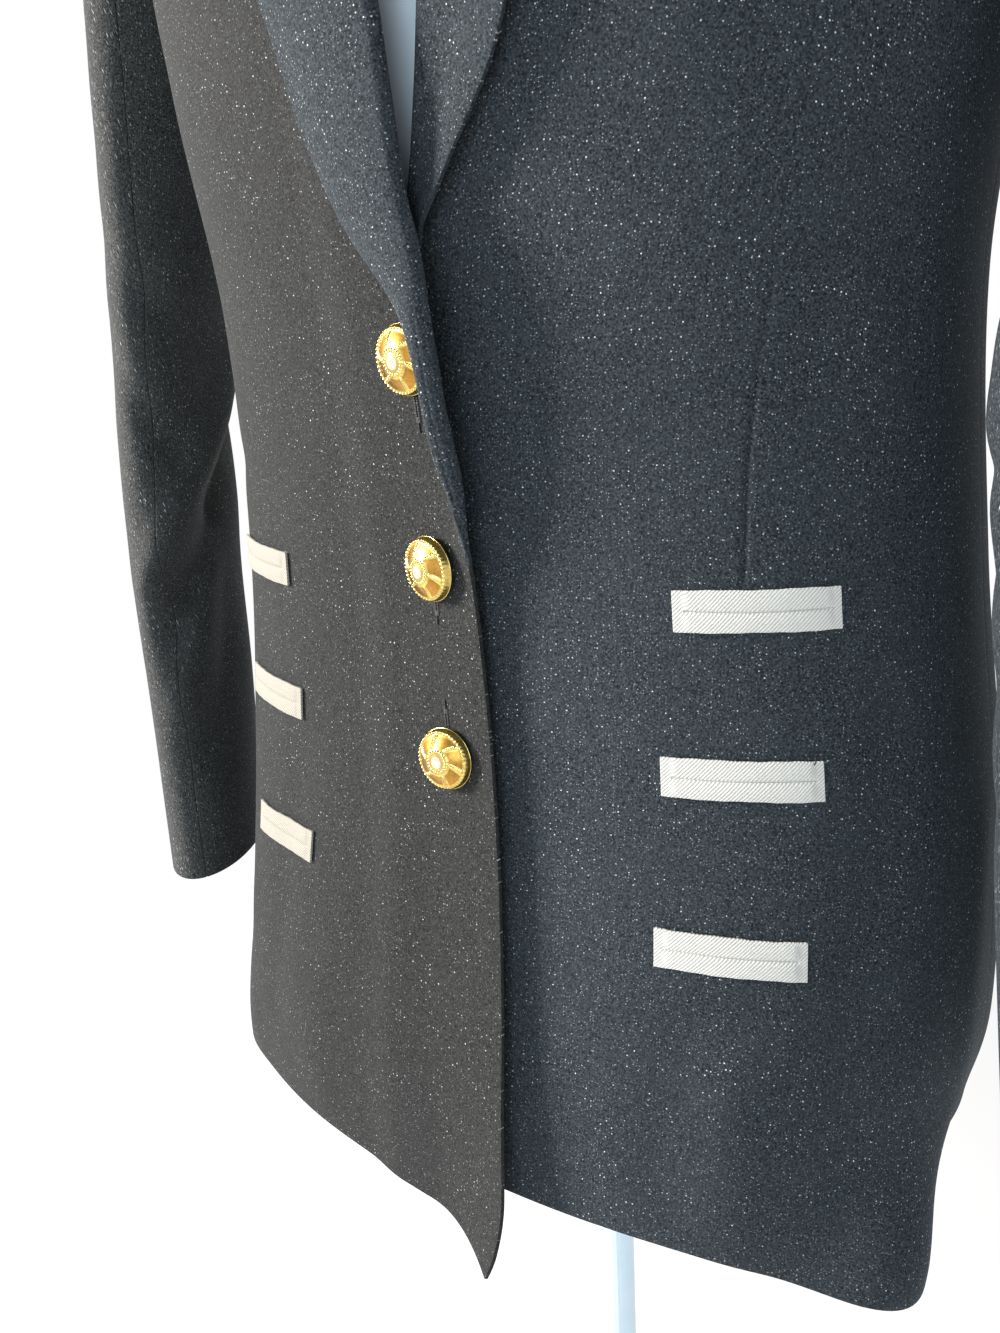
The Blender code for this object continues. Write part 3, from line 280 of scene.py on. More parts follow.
# Soft troughs and ridges on the body: the angle in degrees and the level of either end,
# half the width, and the depth, which is below zero for a trough
Crease = namedtuple("Crease", "angle level end_angle end_level width depth")
BODY_CREASES = (
    Crease(-62, 0.985, -28, 0.962, 0.011, -0.0010),
    Crease(-50, 1.030, -16, 1.016, 0.009, -0.0007),
    Crease(-34, 0.690, -26, 0.860, 0.014, -0.0016),
    Crease(-20, 0.668, -15, 0.790, 0.012, 0.0011),
    Crease(-48, 0.664, -46, 0.770, 0.013, 0.0013),
    Crease(-72, 0.672, -66, 0.905, 0.016, -0.0020),
    Crease(-78, 1.020, -64, 1.120, 0.014, -0.0014),
    Crease(-40, 1.150, -58, 1.235, 0.016, 0.0012),
    Crease(14, 0.700, 17, 0.930, 0.013, -0.0009),
    Crease(26, 0.682, 30, 0.780, 0.012, -0.0012),
    Crease(37, 0.668, 36, 0.762, 0.013, 0.0012),
    Crease(52, 0.670, 61, 0.905, 0.016, -0.0024),
    Crease(62, 0.955, 80, 0.930, 0.010, -0.0012),
    Crease(24, 1.000, 66, 1.022, 0.013, -0.0009),
    Crease(70, 1.010, 56, 1.150, 0.015, -0.0013),
    Crease(30, 1.110, 47, 1.225, 0.017, 0.0010),
    Crease(80, 0.672, 84, 0.850, 0.014, 0.0015),
    Crease(104, 1.012, 140, 0.985, 0.012, -0.0016),
    Crease(112, 1.052, 156, 1.041, 0.010, -0.0012),
    Crease(118, 0.975, 150, 0.946, 0.014, -0.0013),
    Crease(128, 0.668, 124, 0.880, 0.018, -0.0022),
    Crease(152, 0.672, 149, 0.815, 0.015, 0.0016),
    Crease(113, 1.190, 140, 1.255, 0.014, -0.0016),
    Crease(152, 1.130, 146, 1.245, 0.019, 0.0012),
    Crease(-106, 1.004, -144, 0.990, 0.011, -0.0015),
    Crease(-111, 1.046, -151, 1.058, 0.012, -0.0011),
    Crease(-122, 0.962, -146, 0.930, 0.013, -0.0014),
    Crease(-126, 0.670, -130, 0.862, 0.017, -0.0020),
    Crease(-155, 0.668, -150, 0.838, 0.016, 0.0015),
    Crease(-114, 1.182, -137, 1.262, 0.015, -0.0015),
    Crease(-150, 1.115, -148, 1.238, 0.018, 0.0011),
)
CREASE_RADIUS = 0.155

# Creases on a sleeve: the turn in degrees and the height of either end
ArmCrease = namedtuple("ArmCrease", "turn height end_turn end_height width depth")
RIGHT_ARM_CREASES = (
    ArmCrease(232, 1.016, 88, 0.872, 0.017, -0.0100),
    ArmCrease(228, 1.052, 78, 0.905, 0.014, 0.0072),
    ArmCrease(196, 0.930, 104, 0.800, 0.026, -0.0050),
    ArmCrease(178, 0.940, 96, 0.832, 0.011, 0.0020),
    ArmCrease(160, 1.112, 92, 1.062, 0.012, -0.0022),
    ArmCrease(120, 1.170, 100, 1.080, 0.014, -0.0016),
    ArmCrease(70, 1.150, 54, 1.010, 0.015, -0.0015),
    ArmCrease(172, 0.872, 118, 0.806, 0.010, -0.0018),
    ArmCrease(140, 0.765, 112, 0.860, 0.013, 0.0012),
    ArmCrease(236, 1.010, 300, 0.960, 0.014, -0.0020),
    ArmCrease(262, 1.080, 318, 1.050, 0.015, -0.0016),
    ArmCrease(-16, 1.020, 24, 1.120, 0.018, -0.0014),
    ArmCrease(10, 0.770, -8, 0.900, 0.016, 0.0012),
)
LEFT_ARM_CREASES = (
    ArmCrease(190, 1.030, 76, 0.905, 0.012, -0.0032),
    ArmCrease(200, 1.058, 96, 0.968, 0.012, 0.0024),
    ArmCrease(176, 0.930, 104, 0.850, 0.011, -0.0020),
    ArmCrease(158, 1.118, 88, 1.080, 0.013, -0.0020),
    ArmCrease(116, 1.168, 98, 1.092, 0.015, -0.0015),
    ArmCrease(72, 1.140, 50, 1.000, 0.015, -0.0013),
    ArmCrease(232, 1.000, 304, 0.966, 0.013, -0.0018),
    ArmCrease(258, 1.092, 322, 1.066, 0.016, -0.0017),
    ArmCrease(-12, 1.040, 28, 1.130, 0.017, -0.0013),
    ArmCrease(8, 0.780, -10, 0.890, 0.017, 0.0011),
)
ARM_CREASE_RADIUS = 0.042

# Darts: how far out the seam runs on each front, by level, and its groove
DartPlace = namedtuple("DartPlace", "level x")
DART = (
    DartPlace(0.9463, 0.1185),
    DartPlace(1.0000, 0.1200),
    DartPlace(1.0600, 0.1275),
    DartPlace(1.1270, 0.1385),
    DartPlace(1.2100, 0.1430),
)
DART_FADE = 0.030
GROOVE_WIDTH = 0.0011
GROOVE_DEPTH = 0.0009

# Marks of the pocket bags pressed through the cloth: how far to either side of a welt's
# middle and how far below it each line runs, by its own ends
BagMark = namedtuple("BagMark", "label across low high")
BAG_MARKS = (
    BagMark("upper", -0.018, 0.012, 0.046),
    BagMark("upper", 0.021, 0.012, 0.034),
    BagMark("middle", 0.0315, -0.022, 0.030),
    BagMark("lower", 0.031, -0.020, 0.024),
)
MARK_WIDTH = 0.0013
MARK_RISE = 0.00028

# The camera that was fitted to the photograph
CAMERA_PLACE = (0.2564, -0.4598, 1.0457)
CAMERA_RIGHT = (0.8321, 0.5516, -0.0582)
CAMERA_UP = (-0.1283, 0.2936, 0.9473)
CAMERA_AHEAD = (-0.5396, 0.7807, -0.3151)
CAMERA_LENS = 38.62
CAMERA_SENSOR = 36.0


def smoothstep(value):
    """0 below 0, 1 above 1, and a smooth rise between."""
    value = np.clip(value, 0.0, 1.0)
    return value * value * (3.0 - 2.0 * value)


def hill(distance, width):
    """A smooth hill that is 1 where the distance is 0."""
    return np.exp(-(distance / width) ** 2)


def unit(vectors):
    """The vectors at length 1."""
    return vectors / np.maximum(np.linalg.norm(vectors, axis=-1, keepdims=True), 1e-12)


def dot(first, second):
    """The dot product of two arrays of vectors."""
    return (first * second).sum(-1)


def stack(x, y, z):
    """An array of points from arrays of their coordinates."""
    return np.stack(np.broadcast_arrays(x, y, z), -1).astype(float)


def between(start, end, share):
    """A place between two others."""
    return start + (end - start) * share


def read(rows, place, column):
    """Read one column of a table at each place, on a smooth curve through its rows."""
    places = np.array([row[0] for row in rows], float)
    values = np.array([getattr(row, column) for row in rows], float)
    slopes = np.empty_like(values)
    slopes[1:-1] = (values[2:] - values[:-2]) / (places[2:] - places[:-2])
    slopes[0] = (values[1] - values[0]) / (places[1] - places[0])
    slopes[-1] = (values[-1] - values[-2]) / (places[-1] - places[-2])
    place = np.clip(place, places[0], places[-1])
    step = np.clip(np.searchsorted(places, place, side="right") - 1, 0, len(rows) - 2)
    width = places[step + 1] - places[step]
    t = (place - places[step]) / width
    return (
        (2 * t ** 3 - 3 * t ** 2 + 1) * values[step]
        + (t ** 3 - 2 * t ** 2 + t) * width * slopes[step]
        + (3 * t ** 2 - 2 * t ** 3) * values[step + 1]
        + (t ** 3 - t ** 2) * width * slopes[step + 1]
    )


def turn_between(angle, other):
    """The signed turn from one angle to another, in radians."""
    return (angle - other + math.pi) % (2 * math.pi) - math.pi


# The form of the body
def hem_waves(angle, level):
    """How far the hem's waves push the cloth out."""
    total = 0.0
    for wave in WAVES:
        turn = turn_between(angle, math.radians(wave.angle))
        round_share = hill(turn, math.radians(wave.spread))
        total = total + wave.amount * round_share * smoothstep(1 - (level - WAVE_FOOT) / wave.reach)
    return total


def body_middle(angle, level, waves=True):
    """Places on the body surface."""
    size = {name: read(SECTIONS, level, name) for name in Section._fields[1:]}
    sine = np.sin(angle)
    cosine = np.cos(angle)
    power = 2 / size["squareness"]
    in_front = cosine > 0
    depth = np.where(in_front, size["front_depth"], size["back_depth"])
    height = np.where(in_front, size["front"], size["back"])
    side = np.clip(level, SECTIONS[0].side, SECTIONS[-1].side)
    x = size["half_width"] * np.sign(sine) * np.abs(sine) ** power
    y = -depth * np.sign(cosine) * np.abs(cosine) ** power
    point = stack(x, CENTRE_Y + y, between(side, height, cosine ** 2))
    if waves:
        away = unit(stack(x, y, np.zeros_like(x)))
        point = point + away * np.asarray(hem_waves(angle, level))[..., None]
    return point


def body_normal(angle, level, waves=True):
    """The outward directions on the body surface."""
    turn = 0.012
    rise = 0.002
    across = body_middle(angle + turn, level, waves) - body_middle(angle - turn, level, waves)
    upward = body_middle(angle, level + rise, waves) - body_middle(angle, level - rise, waves)
    return unit(np.cross(across, upward))


def body_point(angle, level, out=0.0):
    """Places on the body surface, moved out along its normals."""
    return body_middle(angle, level) + body_normal(angle, level) * np.asarray(out)[..., None]


def angle_for_x(x, level):
    """The angle at which the front of the body has this x."""
    share = np.minimum(np.abs(x) / read(SECTIONS, level, "half_width"), 1.0)
    return np.sign(x) * np.arcsin(share ** (read(SECTIONS, level, "squareness") / 2))


def angle_for_depth(reach, level, front):
    """The angle on the wearer's left at which the body is this far before or behind."""
    depth = read(SECTIONS, level, "front_depth" if front else "back_depth")
    share = np.minimum(reach / depth, 1.0)
    angle = np.arccos(share ** (read(SECTIONS, level, "squareness") / 2))
    return angle if front else math.pi - angle


def side_limit(level, front):
    """The angle, on the wearer's left, of the side seam, armhole or shoulder seam."""
    share = np.clip((2 * level - UNDERARM - SHOULDER) / (SHOULDER - UNDERARM), -1, 1)
    reach = SEWN_GAP / 2 + np.sqrt(1 - share * share) * (ARMHOLE_FRONT if front else ARMHOLE_BACK)
    return angle_for_depth(reach, level, front)


def along_line(x, y, crease_start, crease_end, width):
    """How strongly a crease from one place to another works at each x and y."""
    run = np.subtract(crease_end, crease_start)
    length = np.hypot(*run)
    ahead = ((x - crease_start[0]) * run[0] + (y - crease_start[1]) * run[1]) / length
    aside = ((x - crease_start[0]) * run[1] - (y - crease_start[1]) * run[0]) / length
    ends = smoothstep((ahead + width) / (2.5 * width))
    ends = ends * smoothstep((length + width - ahead) / (2.5 * width))
    bend = 0.35 * width * np.sin(math.pi * ahead / length)
    return hill(aside + bend, width) * ends


def body_relief(angle, level):
    """How far the creases move the cloth out at places on the body."""
    total = np.zeros(np.broadcast(angle, level).shape)
    for crease in BODY_CREASES:
        away = turn_between(angle, math.radians(crease.angle)) * CREASE_RADIUS
        run = math.radians(crease.end_angle - crease.angle) * CREASE_RADIUS
        start = (0.0, crease.level)
        end = (run, crease.end_level)
        total = total + crease.depth * along_line(away, level, start, end, crease.width)
    return total


def dart_groove(angle, level, side):
    """The groove of the dart on one front, from the top welt up to the bust."""
    dart_angle = side * angle_for_x(read(DART, level, "x"), level)
    aside = (angle - dart_angle) * read(SECTIONS, level, "half_width")
    ends = smoothstep((level - DART[0].level) / 0.006)
    ends = ends * smoothstep((DART[-1].level + DART_FADE - level) / DART_FADE)
    near_welt = 0.65 + 0.7 * smoothstep((1.06 - level) / 0.10)
    strength = near_welt if side > 0 else 0.6
    return -GROOVE_DEPTH * strength * hill(aside, GROOVE_WIDTH) * ends


def bag_marks(angle, level, side):
    """The faint lines of the pocket bags on one front."""
    total = 0.0
    for mark in BAG_MARKS:
        welt = next(welt for welt in WELTS if welt.label == mark.label)
        start_x = welt.left_x if side > 0 else welt.right_x
        middle = angle_for_x(start_x, welt.height) + welt.length / 2 / CREASE_RADIUS
        aside = (side * angle - middle) * CREASE_RADIUS - mark.across
        low = welt.height - mark.high
        high = welt.height - mark.low
        ends = smoothstep((level - low) / 0.006) * smoothstep((high - level) / 0.006)
        total = total + MARK_RISE * hill(aside, MARK_WIDTH) * ends
    return total


# The right front's edge, which stands off the left front
def right_edge_shape(level, distance):
    """The x of the right front at a distance from its edge, and how far out it is."""
    edge_x = read(RIGHT_EDGE, level, "x")
    lift = read(RIGHT_EDGE, level, "lift") + EDGE_PUFF * smoothstep((1.01 - level) / 0.06)
    stand = read(RIGHT_EDGE, level, "stand")
    lying = lift * np.maximum(1 - distance / LYING_REACH, 0) ** LYING_POWER
    standing = lift * read(STANDING, distance, "share")
    inward = read(STANDING, distance, "inward") + np.maximum(distance - STANDING[-1].distance, 0)
    x = edge_x - between(distance, inward, stand)
    overlap = OVERLAP_LIFT * smoothstep((x - OVERLAP_FROM) / (OVERLAP_FULL - OVERLAP_FROM))
    overlap = overlap * (1 - smoothstep((level - OVERLAP_FADE) / (OVERLAP_GONE - OVERLAP_FADE)))
    return x, between(lying, standing, stand) + overlap


def distance_for_x(x, level):
    """The distance from the right front's edge at which its cloth has this x."""
    low = np.zeros(np.broadcast(x, level).shape)
    high = low + EDGE_SEARCH
    for _ in range(26):
        middle = (low + high) / 2
        inside = right_edge_shape(level, middle)[0] > x
        low = np.where(inside, middle, low)
        high = np.where(inside, high, middle)
    return (low + high) / 2


def right_rise(x, level):
    """How far out from the body the right front's cloth is at this x."""
    near = x > np.minimum(read(RIGHT_EDGE, level, "x") - 0.06, OVERLAP_FROM)
    rise = right_edge_shape(level, distance_for_x(x, level))[1]
    return np.where(near, rise, 0.0)


def right_front(level, distance):
    """Places on the right front's middle surface, by distance from its edge."""
    x, rise = right_edge_shape(level, distance)
    angle = angle_for_x(x, level)
    return body_point(angle, level, rise + body_relief(angle, level))


def right_front_frame(level, distance):
    """A place on the right front with its directions across and out."""
    step = 0.001
    here = right_front(level, distance)
    across = right_front(level, np.maximum(distance - step, 0)) - right_front(level, distance + step)
    upward = right_front(level + step, distance) - right_front(level - step, distance)
    across = unit(across)
    return here, across, unit(np.cross(across, upward))


# Building shells
def add_mesh(name, points, faces, uvs=None, smooth=True):
    """Make a mesh object from arrays of points and of four-cornered faces."""
    mesh = bpy.data.meshes.new(name)
    mesh.from_pydata(np.asarray(points).tolist(), [], np.asarray(faces).tolist())
    if smooth:
        mesh.polygons.foreach_set("use_smooth", [True] * len(mesh.polygons))
    if uvs is not None:
        corner = np.empty(len(mesh.loops), dtype=np.int32)
        mesh.loops.foreach_get("vertex_index", corner)
        layer = mesh.uv_layers.new(name="metres")
        layer.data.foreach_set("uv", np.asarray(uvs)[corner].astype(np.float32).ravel())
    mesh.update()
    thing = bpy.data.objects.new(name, mesh)
    bpy.context.scene.collection.objects.link(thing)
    return thing


def surface_normals(surface, u, v):
    """The directions square to a surface at each u and v."""
    step = 0.0015
    across = surface(u + step, v) - surface(u - step, v)
    along = surface(u, v + step) - surface(u, v - step)
    return unit(np.cross(across, along))


def grid_faces(rows, columns):
    """The corners of each face of a grid."""
    low = (np.arange(rows - 1)[:, None] * columns + np.arange(columns - 1)).ravel()
    return np.stack((low, low + 1, low + 1 + columns, low + columns), -1)


def border(rows, columns):
    """The grid's outline, in order, as pairs of neighbours."""
    index = np.arange(rows * columns).reshape(rows, columns)
    ring = np.concatenate((index[0, :-1], index[:-1, -1], index[-1, :0:-1], index[:0:-1, 0]))
    return ring, np.roll(ring, -1)


def measured_uvs(points):
    """The distance across and along a grid, in metres."""
    across = np.linalg.norm(np.diff(points, axis=1), axis=-1)
    along = np.linalg.norm(np.diff(points, axis=0), axis=-1)
    u = np.pad(np.cumsum(across, 1), ((0, 0), (1, 0)))
    u = u - u[:, u.shape[1] // 2:u.shape[1] // 2 + 1]
    v = np.pad(np.cumsum(along, 0), ((1, 0), (0, 0)))
    return np.stack((u, v), -1)


def add_shell(name, surface, shares_u, shares_v, thickness=CLOTH, flip=False):
    """A closed shell on a surface, half its thickness to each side, with round edges."""
    u, v = np.meshgrid(shares_u, shares_v)
    points = surface(u, v)
    normals = surface_normals(surface, u, v) * (-1 if flip else 1)
    rows, columns = u.shape
    size = rows * columns
    outer = (points + normals * thickness / 2).reshape(-1, 3)
    inner = (points - normals * thickness / 2).reshape(-1, 3)
    faces = grid_faces(rows, columns)
    first, second = border(rows, columns)
    rim = np.stack((second, first, first + size, second + size), -1)
    if flip:
        faces = faces[:, ::-1]
        rim = rim[:, ::-1]
    faces = np.concatenate((faces, faces[:, ::-1] + size, rim))
    uvs = measured_uvs(points).reshape(-1, 2)
    thing = add_mesh(name, np.concatenate((outer, inner)), faces, np.concatenate((uvs, uvs)))
    edge = thing.modifiers.new("rounded_edge", "BEVEL")
    edge.width = min(EDGE_ROUND, thickness * 0.4)
    edge.segments = 3
    edge.limit_method = "ANGLE"
    edge.angle_limit = math.radians(50)
    return thing


def even(count):
    """Shares from 0 to 1 at even steps."""
    return np.linspace(0, 1, count + 1)


def with_line(shares, middle, steps):
    """Shares with closer ones about a fine line."""
    near = [middle + side * step for step in steps for side in (-1, 1)] + [middle]
    kept = [share for share in shares if min(abs(share - other) for other in near) > 0.0025]
    return np.unique(np.round(np.concatenate((kept, near)), 6))


# Panels of the body
LOW_V = 0.20
ARMHOLE_V = 0.74
SHOULDER_V = 0.93


def panel_level(hem, v):
    """The level of a panel's row: v is 0 at the hem and 1 at the neck."""
    below = between(hem, FREE_HEM, v / LOW_V)
    waist = between(FREE_HEM, UNDERARM, (v - LOW_V) / (ARMHOLE_V - LOW_V))
    turn = np.clip((v - ARMHOLE_V) / (SHOULDER_V - ARMHOLE_V), 0, 1) * math.pi
    middle = (UNDERARM + SHOULDER) / 2
    arm = middle - (SHOULDER - UNDERARM) / 2 * np.cos(turn)
    top = between(SHOULDER, NECK, (v - SHOULDER_V) / (1 - SHOULDER_V))
    level = np.where(v < LOW_V, below, waist)
    level = np.where(v > ARMHOLE_V, arm, level)
    return np.where(v > SHOULDER_V, top, level)


def panel_surface(start, end, hem, relief, line_share=None, line_angle=None):
    """A panel between two limits. A fine line may be kept at one share of its width."""
    def surface(u, v):
        level = panel_level(hem[0].height, v)
        for _ in range(4):
            first = start(level)
            last = end(level)
            share = u
            if line_angle is not None:
                reached = np.clip((line_angle(level) - first) / (last - first), 0.1, 0.9)
                low = u / line_share * reached
                high = reached + (u - line_share) / (1 - line_share) * (1 - reached)
                share = np.where(u < line_share, low, high)
            angle = between(first, last, share)
            height = read(hem, np.degrees(angle), "height")
            level = panel_level(height, v)
        return body_point(angle, level, relief(angle, level))
    return surface


FINE_STEPS = (0.0014, 0.0030, 0.0060, 0.0105)


def make_front_left():
    """The left front, with its dart and the marks of its pocket bags."""
    def start(level):
        return angle_for_x(read(LEFT_EDGE, level, "x"), level)

    def end(level):
        return side_limit(level, True)

    def dart(level):
        return angle_for_x(read(DART, level, "x"), level)

    def relief(angle, level):
        cloth = body_relief(angle, level) * smoothstep(angle / 0.25)
        return cloth + dart_groove(angle, level, 1) + bag_marks(angle, level, 1)

    surface = panel_surface(start, end, LEFT_HEM, relief, 0.5, dart)
    shares = with_line(even(105), 0.5, FINE_STEPS)
    return add_shell("front_left_cloth", surface, shares, even(250))


def edge_room(level):
    """The share of the edge strip that fits beside the neck."""
    room = read(SECTIONS, level, "half_width") - np.abs(read(RIGHT_EDGE, level, "x"))
    return np.minimum(1.0, room / 0.15)


def hem_near_edge(distance):
    """The right front's hem height at a distance from its edge."""
    level = np.full(np.shape(distance), 0.66)
    x = right_edge_shape(level, distance)[0]
    return read(RIGHT_HEM, np.degrees(angle_for_x(x, level)), "height")


EDGE_U = 0.62


def right_front_surface(u, v):
    """The right front: a plain panel from the side, then the strip along its edge."""
    share = np.clip(u / EDGE_U, None, 1)
    level = panel_level(RIGHT_HEM[0].height, v)
    for _ in range(4):
        strip = right_edge_shape(level, EDGE_STRIP * edge_room(level))[0]
        angle = between(-side_limit(level, True), angle_for_x(strip, level), share)
        level = panel_level(read(RIGHT_HEM, np.degrees(angle), "height"), v)
    rise = right_rise(body_middle(angle, level)[..., 0], level)
    relief = body_relief(angle, level) + dart_groove(angle, level, -1)
    relief = relief + bag_marks(angle, level, -1)
    plain = body_point(angle, level, rise + relief)
    distance = EDGE_STRIP * np.maximum(1 - u, 0) / (1 - EDGE_U)
    beyond = EDGE_STRIP * np.maximum(u - 1, 0) / (1 - EDGE_U)
    reach = (FREE_HEM - level) / (FREE_HEM - hem_near_edge(np.full(np.shape(u), EDGE_STRIP)))
    near = np.where(level < FREE_HEM, FREE_HEM - reach * (FREE_HEM - hem_near_edge(distance)), level)
    edge = right_front(near, distance * edge_room(near))
    ahead = unit(edge - right_front(near, distance * edge_room(near) + 0.001))
    return np.where((u < EDGE_U)[..., None], plain, edge + ahead * beyond[..., None])


def make_front_right():
    """The right front, which lies over the left one."""
    plain = EDGE_U * even(62)
    distance = np.concatenate((np.arange(0, 0.020, 0.0011), np.arange(0.020, EDGE_STRIP, 0.0024)))
    edge = 1 - distance / EDGE_STRIP * (1 - EDGE_U)
    shares = np.unique(np.round(np.concatenate((plain, edge)), 6))
    return add_shell("front_right_cloth", right_front_surface, shares, even(250))


def make_back(name, side):
    """One half of the back."""
    def limit(level):
        seam = side_limit(level, False)
        return seam if side > 0 else 2 * math.pi - seam

    def centre(level):
        return math.pi - side * SEWN_GAP / 2 / read(SECTIONS, level, "half_width")

    start, end = (limit, centre) if side > 0 else (centre, limit)
    surface = panel_surface(start, end, BACK_HEM, body_relief)
    return add_shell(name, surface, even(80), even(200))


# Lapels and collar
def lapel_surface(table, edge_table, side):
    """A lapel leaf: v runs up the roll line, u from round the front's edge outward."""
    def surface(u, v):
        place = between(table[0].place, table[-1].place, np.clip(v, 0, 1))
        roll = read(table, place, "roll_level")
        roll = roll + (v - np.clip(v, 0, 1)) * 0.3
        outer_level = read(table, place, "outer_level") + (v - np.clip(v, 0, 1)) * 0.3
        edge_x = read(edge_table, roll, "x")
        lift = np.zeros_like(edge_x)
        if side < 0:
            edge_x, lift = right_edge_shape(roll, np.zeros_like(roll))
        turn = math.pi * 0.5 * np.clip(u / LEAF_TURN, -0.5, 1)
        taper = smoothstep(v / LEAF_TAPER) if side < 0 else np.ones_like(v)
        past = LEAF_PAST * np.cos(turn) * taper
        sink = LEAF_SINK * (1 - taper)
        out = lift + (LIE - sink) * np.sin(turn)
        rolled = body_point(angle_for_x(edge_x - side * past, roll), roll, out)
        share = np.maximum((u - LEAF_TURN) / (1 - LEAF_TURN), 0)
        outer_x = read(table, place, "outer_x")
        outer_x = between(edge_x, outer_x, 0.15 + 0.85 * taper)
        x = between(edge_x, outer_x, share)
        level = between(roll, outer_level, share)
        rise = right_rise(x, level) if side < 0 else 0.0
        outer_rise = read(table, place, "outer_rise")
        bridge = outer_rise + (lift + LIE - outer_rise) * (1 - share ** 2)
        crown = LEAF_CROWN * np.sin(math.pi * np.clip(share, 0, 1))
        off = LEAF_STAND_OFF * smoothstep((share - 0.25) / 0.85) * smoothstep(v / 0.15)
        off = off * (1 - smoothstep((v - 0.55) / 0.25))
        lying = np.maximum(LIE + rise, bridge) + crown + (off if side > 0 else off * 0.35) - sink
        flat = body_point(angle_for_x(x, level), level, lying)
        return np.where((u < LEAF_TURN)[..., None], rolled, flat)
    return surface


def make_lapel(name, table, edge_table, side):
    """A lapel leaf."""
    turned = np.linspace(0, LEAF_TURN, 9)[:-1]
    leaf = np.linspace(LEAF_TURN, 1, 40)
    surface = lapel_surface(table, edge_table, side)
    return add_shell(name, surface, np.concatenate((turned, leaf)), even(150), flip=side > 0)


def collar_surface(u, v):
    """The collar: v runs round the neck from right to left, u over its section."""
    way = np.clip(v, 0, 1) * 2 - 1
    side = np.where(way < 0, -1.0, 1.0)
    place = (1 - np.abs(way)) * COLLAR[-1].place
    base_angle = side * np.radians(read(COLLAR, place, "base_angle"))
    base_level = read(COLLAR, place, "base_level")
    edge_angle = side * np.radians(read(COLLAR, place, "edge_angle"))
    edge_level = read(COLLAR, place, "edge_level")
    stand = read(COLLAR, place, "stand")[..., None]
    base = body_point(base_angle, base_level, np.full(np.shape(u), STAND_LIE))
    flat = unit(base * (1, 1, 0) - (0, CENTRE_Y, 0))
    up = np.array((0.0, 0.0, 1.0))
    share = np.clip(u / STAND_SHARE, -0.1, 1)[..., None]
    standing = base + (up + flat * STAND_LEAN) * stand * share
    top = base + (up + flat * STAND_LEAN) * stand
    turn = np.clip((u - STAND_SHARE) / (ROLL_SHARE - STAND_SHARE), 0, 1)[..., None] * ROLL_TURN
    rolled = top + flat * ROLL_RADIUS * (1 - np.cos(turn)) + up * ROLL_RADIUS * np.sin(turn)
    roll_end = top + flat * ROLL_RADIUS * (1 - math.cos(ROLL_TURN))
    roll_end = roll_end + up * ROLL_RADIUS * math.sin(ROLL_TURN)
    lie = np.full(np.shape(u), FALL_LIE)
    start = roll_end - body_point(base_angle, base_level, lie)
    t = (u - ROLL_SHARE) / (1 - ROLL_SHARE)
    fall = body_point(between(base_angle, edge_angle, t), between(base_level, edge_level, t), lie)
    fall = fall + start * (np.clip(1 - t, 0, None) ** FALL_POWER)[..., None]
    point = np.where((u < STAND_SHARE)[..., None], standing, rolled)
    return np.where((u > ROLL_SHARE)[..., None], fall, point)


def make_collar():
    """The collar."""
    stand = np.linspace(0, STAND_SHARE, 10)[:-1]
    roll = np.linspace(STAND_SHARE, ROLL_SHARE, 14)[:-1]
    fall = np.linspace(ROLL_SHARE, 1, 26)
    rounds = np.linspace(0.0, 1.0, 221)
    return add_shell("collar_cloth", collar_surface, np.concatenate((stand, roll, fall)), rounds)


# Sleeves
def armhole_point(side, turn):
    """Places on the sleeve's seam round the armhole. Turn 0 is at the shoulder."""
    cosine = np.cos(turn)
    sine = np.sin(turn)
    clear = WALL / 2 + SEAM_GAP
    half = (SHOULDER - UNDERARM) / 2
    inset = clear * (1 + UNDER_CLEAR * smoothstep(-cosine))
    level = (SHOULDER + UNDERARM) / 2 + (half - inset) * cosine
    before = np.abs(sine) * (ARMHOLE_FRONT - clear * 1.2)
    behind = np.abs(sine) * (ARMHOLE_BACK - clear * 1.2)
    front_angle = angle_for_depth(before, level, True)
    back_angle = angle_for_depth(behind, level, False)
    return body_point(side * np.where(sine > 0, front_angle, back_angle), level)


def arm_ring_point(side, table, creases, height, turn):
    """Places on a sleeve below the armhole. Turn 0 is outermost."""
    rows = [row._replace(height=-row.height) for row in table]
    size = {name: read(rows, -height, name) for name in ArmRing._fields[1:]}
    out_part = size["half_short"] * np.cos(turn)
    front_part = size["half_long"] * np.sin(turn)
    tip = np.radians(size["turn"])
    push = 0.0
    for fold in SLEEVE_FOLDS:
        away = turn_between(turn, math.radians(fold.angle))
        round_share = hill(away, math.radians(fold.spread))
        middle = fold.height - fold.fall * away
        push = push - fold.depth * round_share * hill(height - middle, fold.half_height)
    for crease in creases:
        away = turn_between(turn, math.radians(crease.turn)) * ARM_CREASE_RADIUS
        run = math.radians(crease.end_turn - crease.turn) * ARM_CREASE_RADIUS
        start = (0.0, crease.height)
        end = (run, crease.end_height)
        push = push + crease.depth * along_line(away, height, start, end, crease.width)
    grow = 1 + push / np.hypot(out_part, front_part)
    out_part = out_part * grow
    front_part = front_part * grow
    x = size["out"] + out_part * np.cos(tip) - front_part * np.sin(tip)
    y = size["back"] - front_part * np.cos(tip) - out_part * np.sin(tip)
    return stack(side * x, y, height)


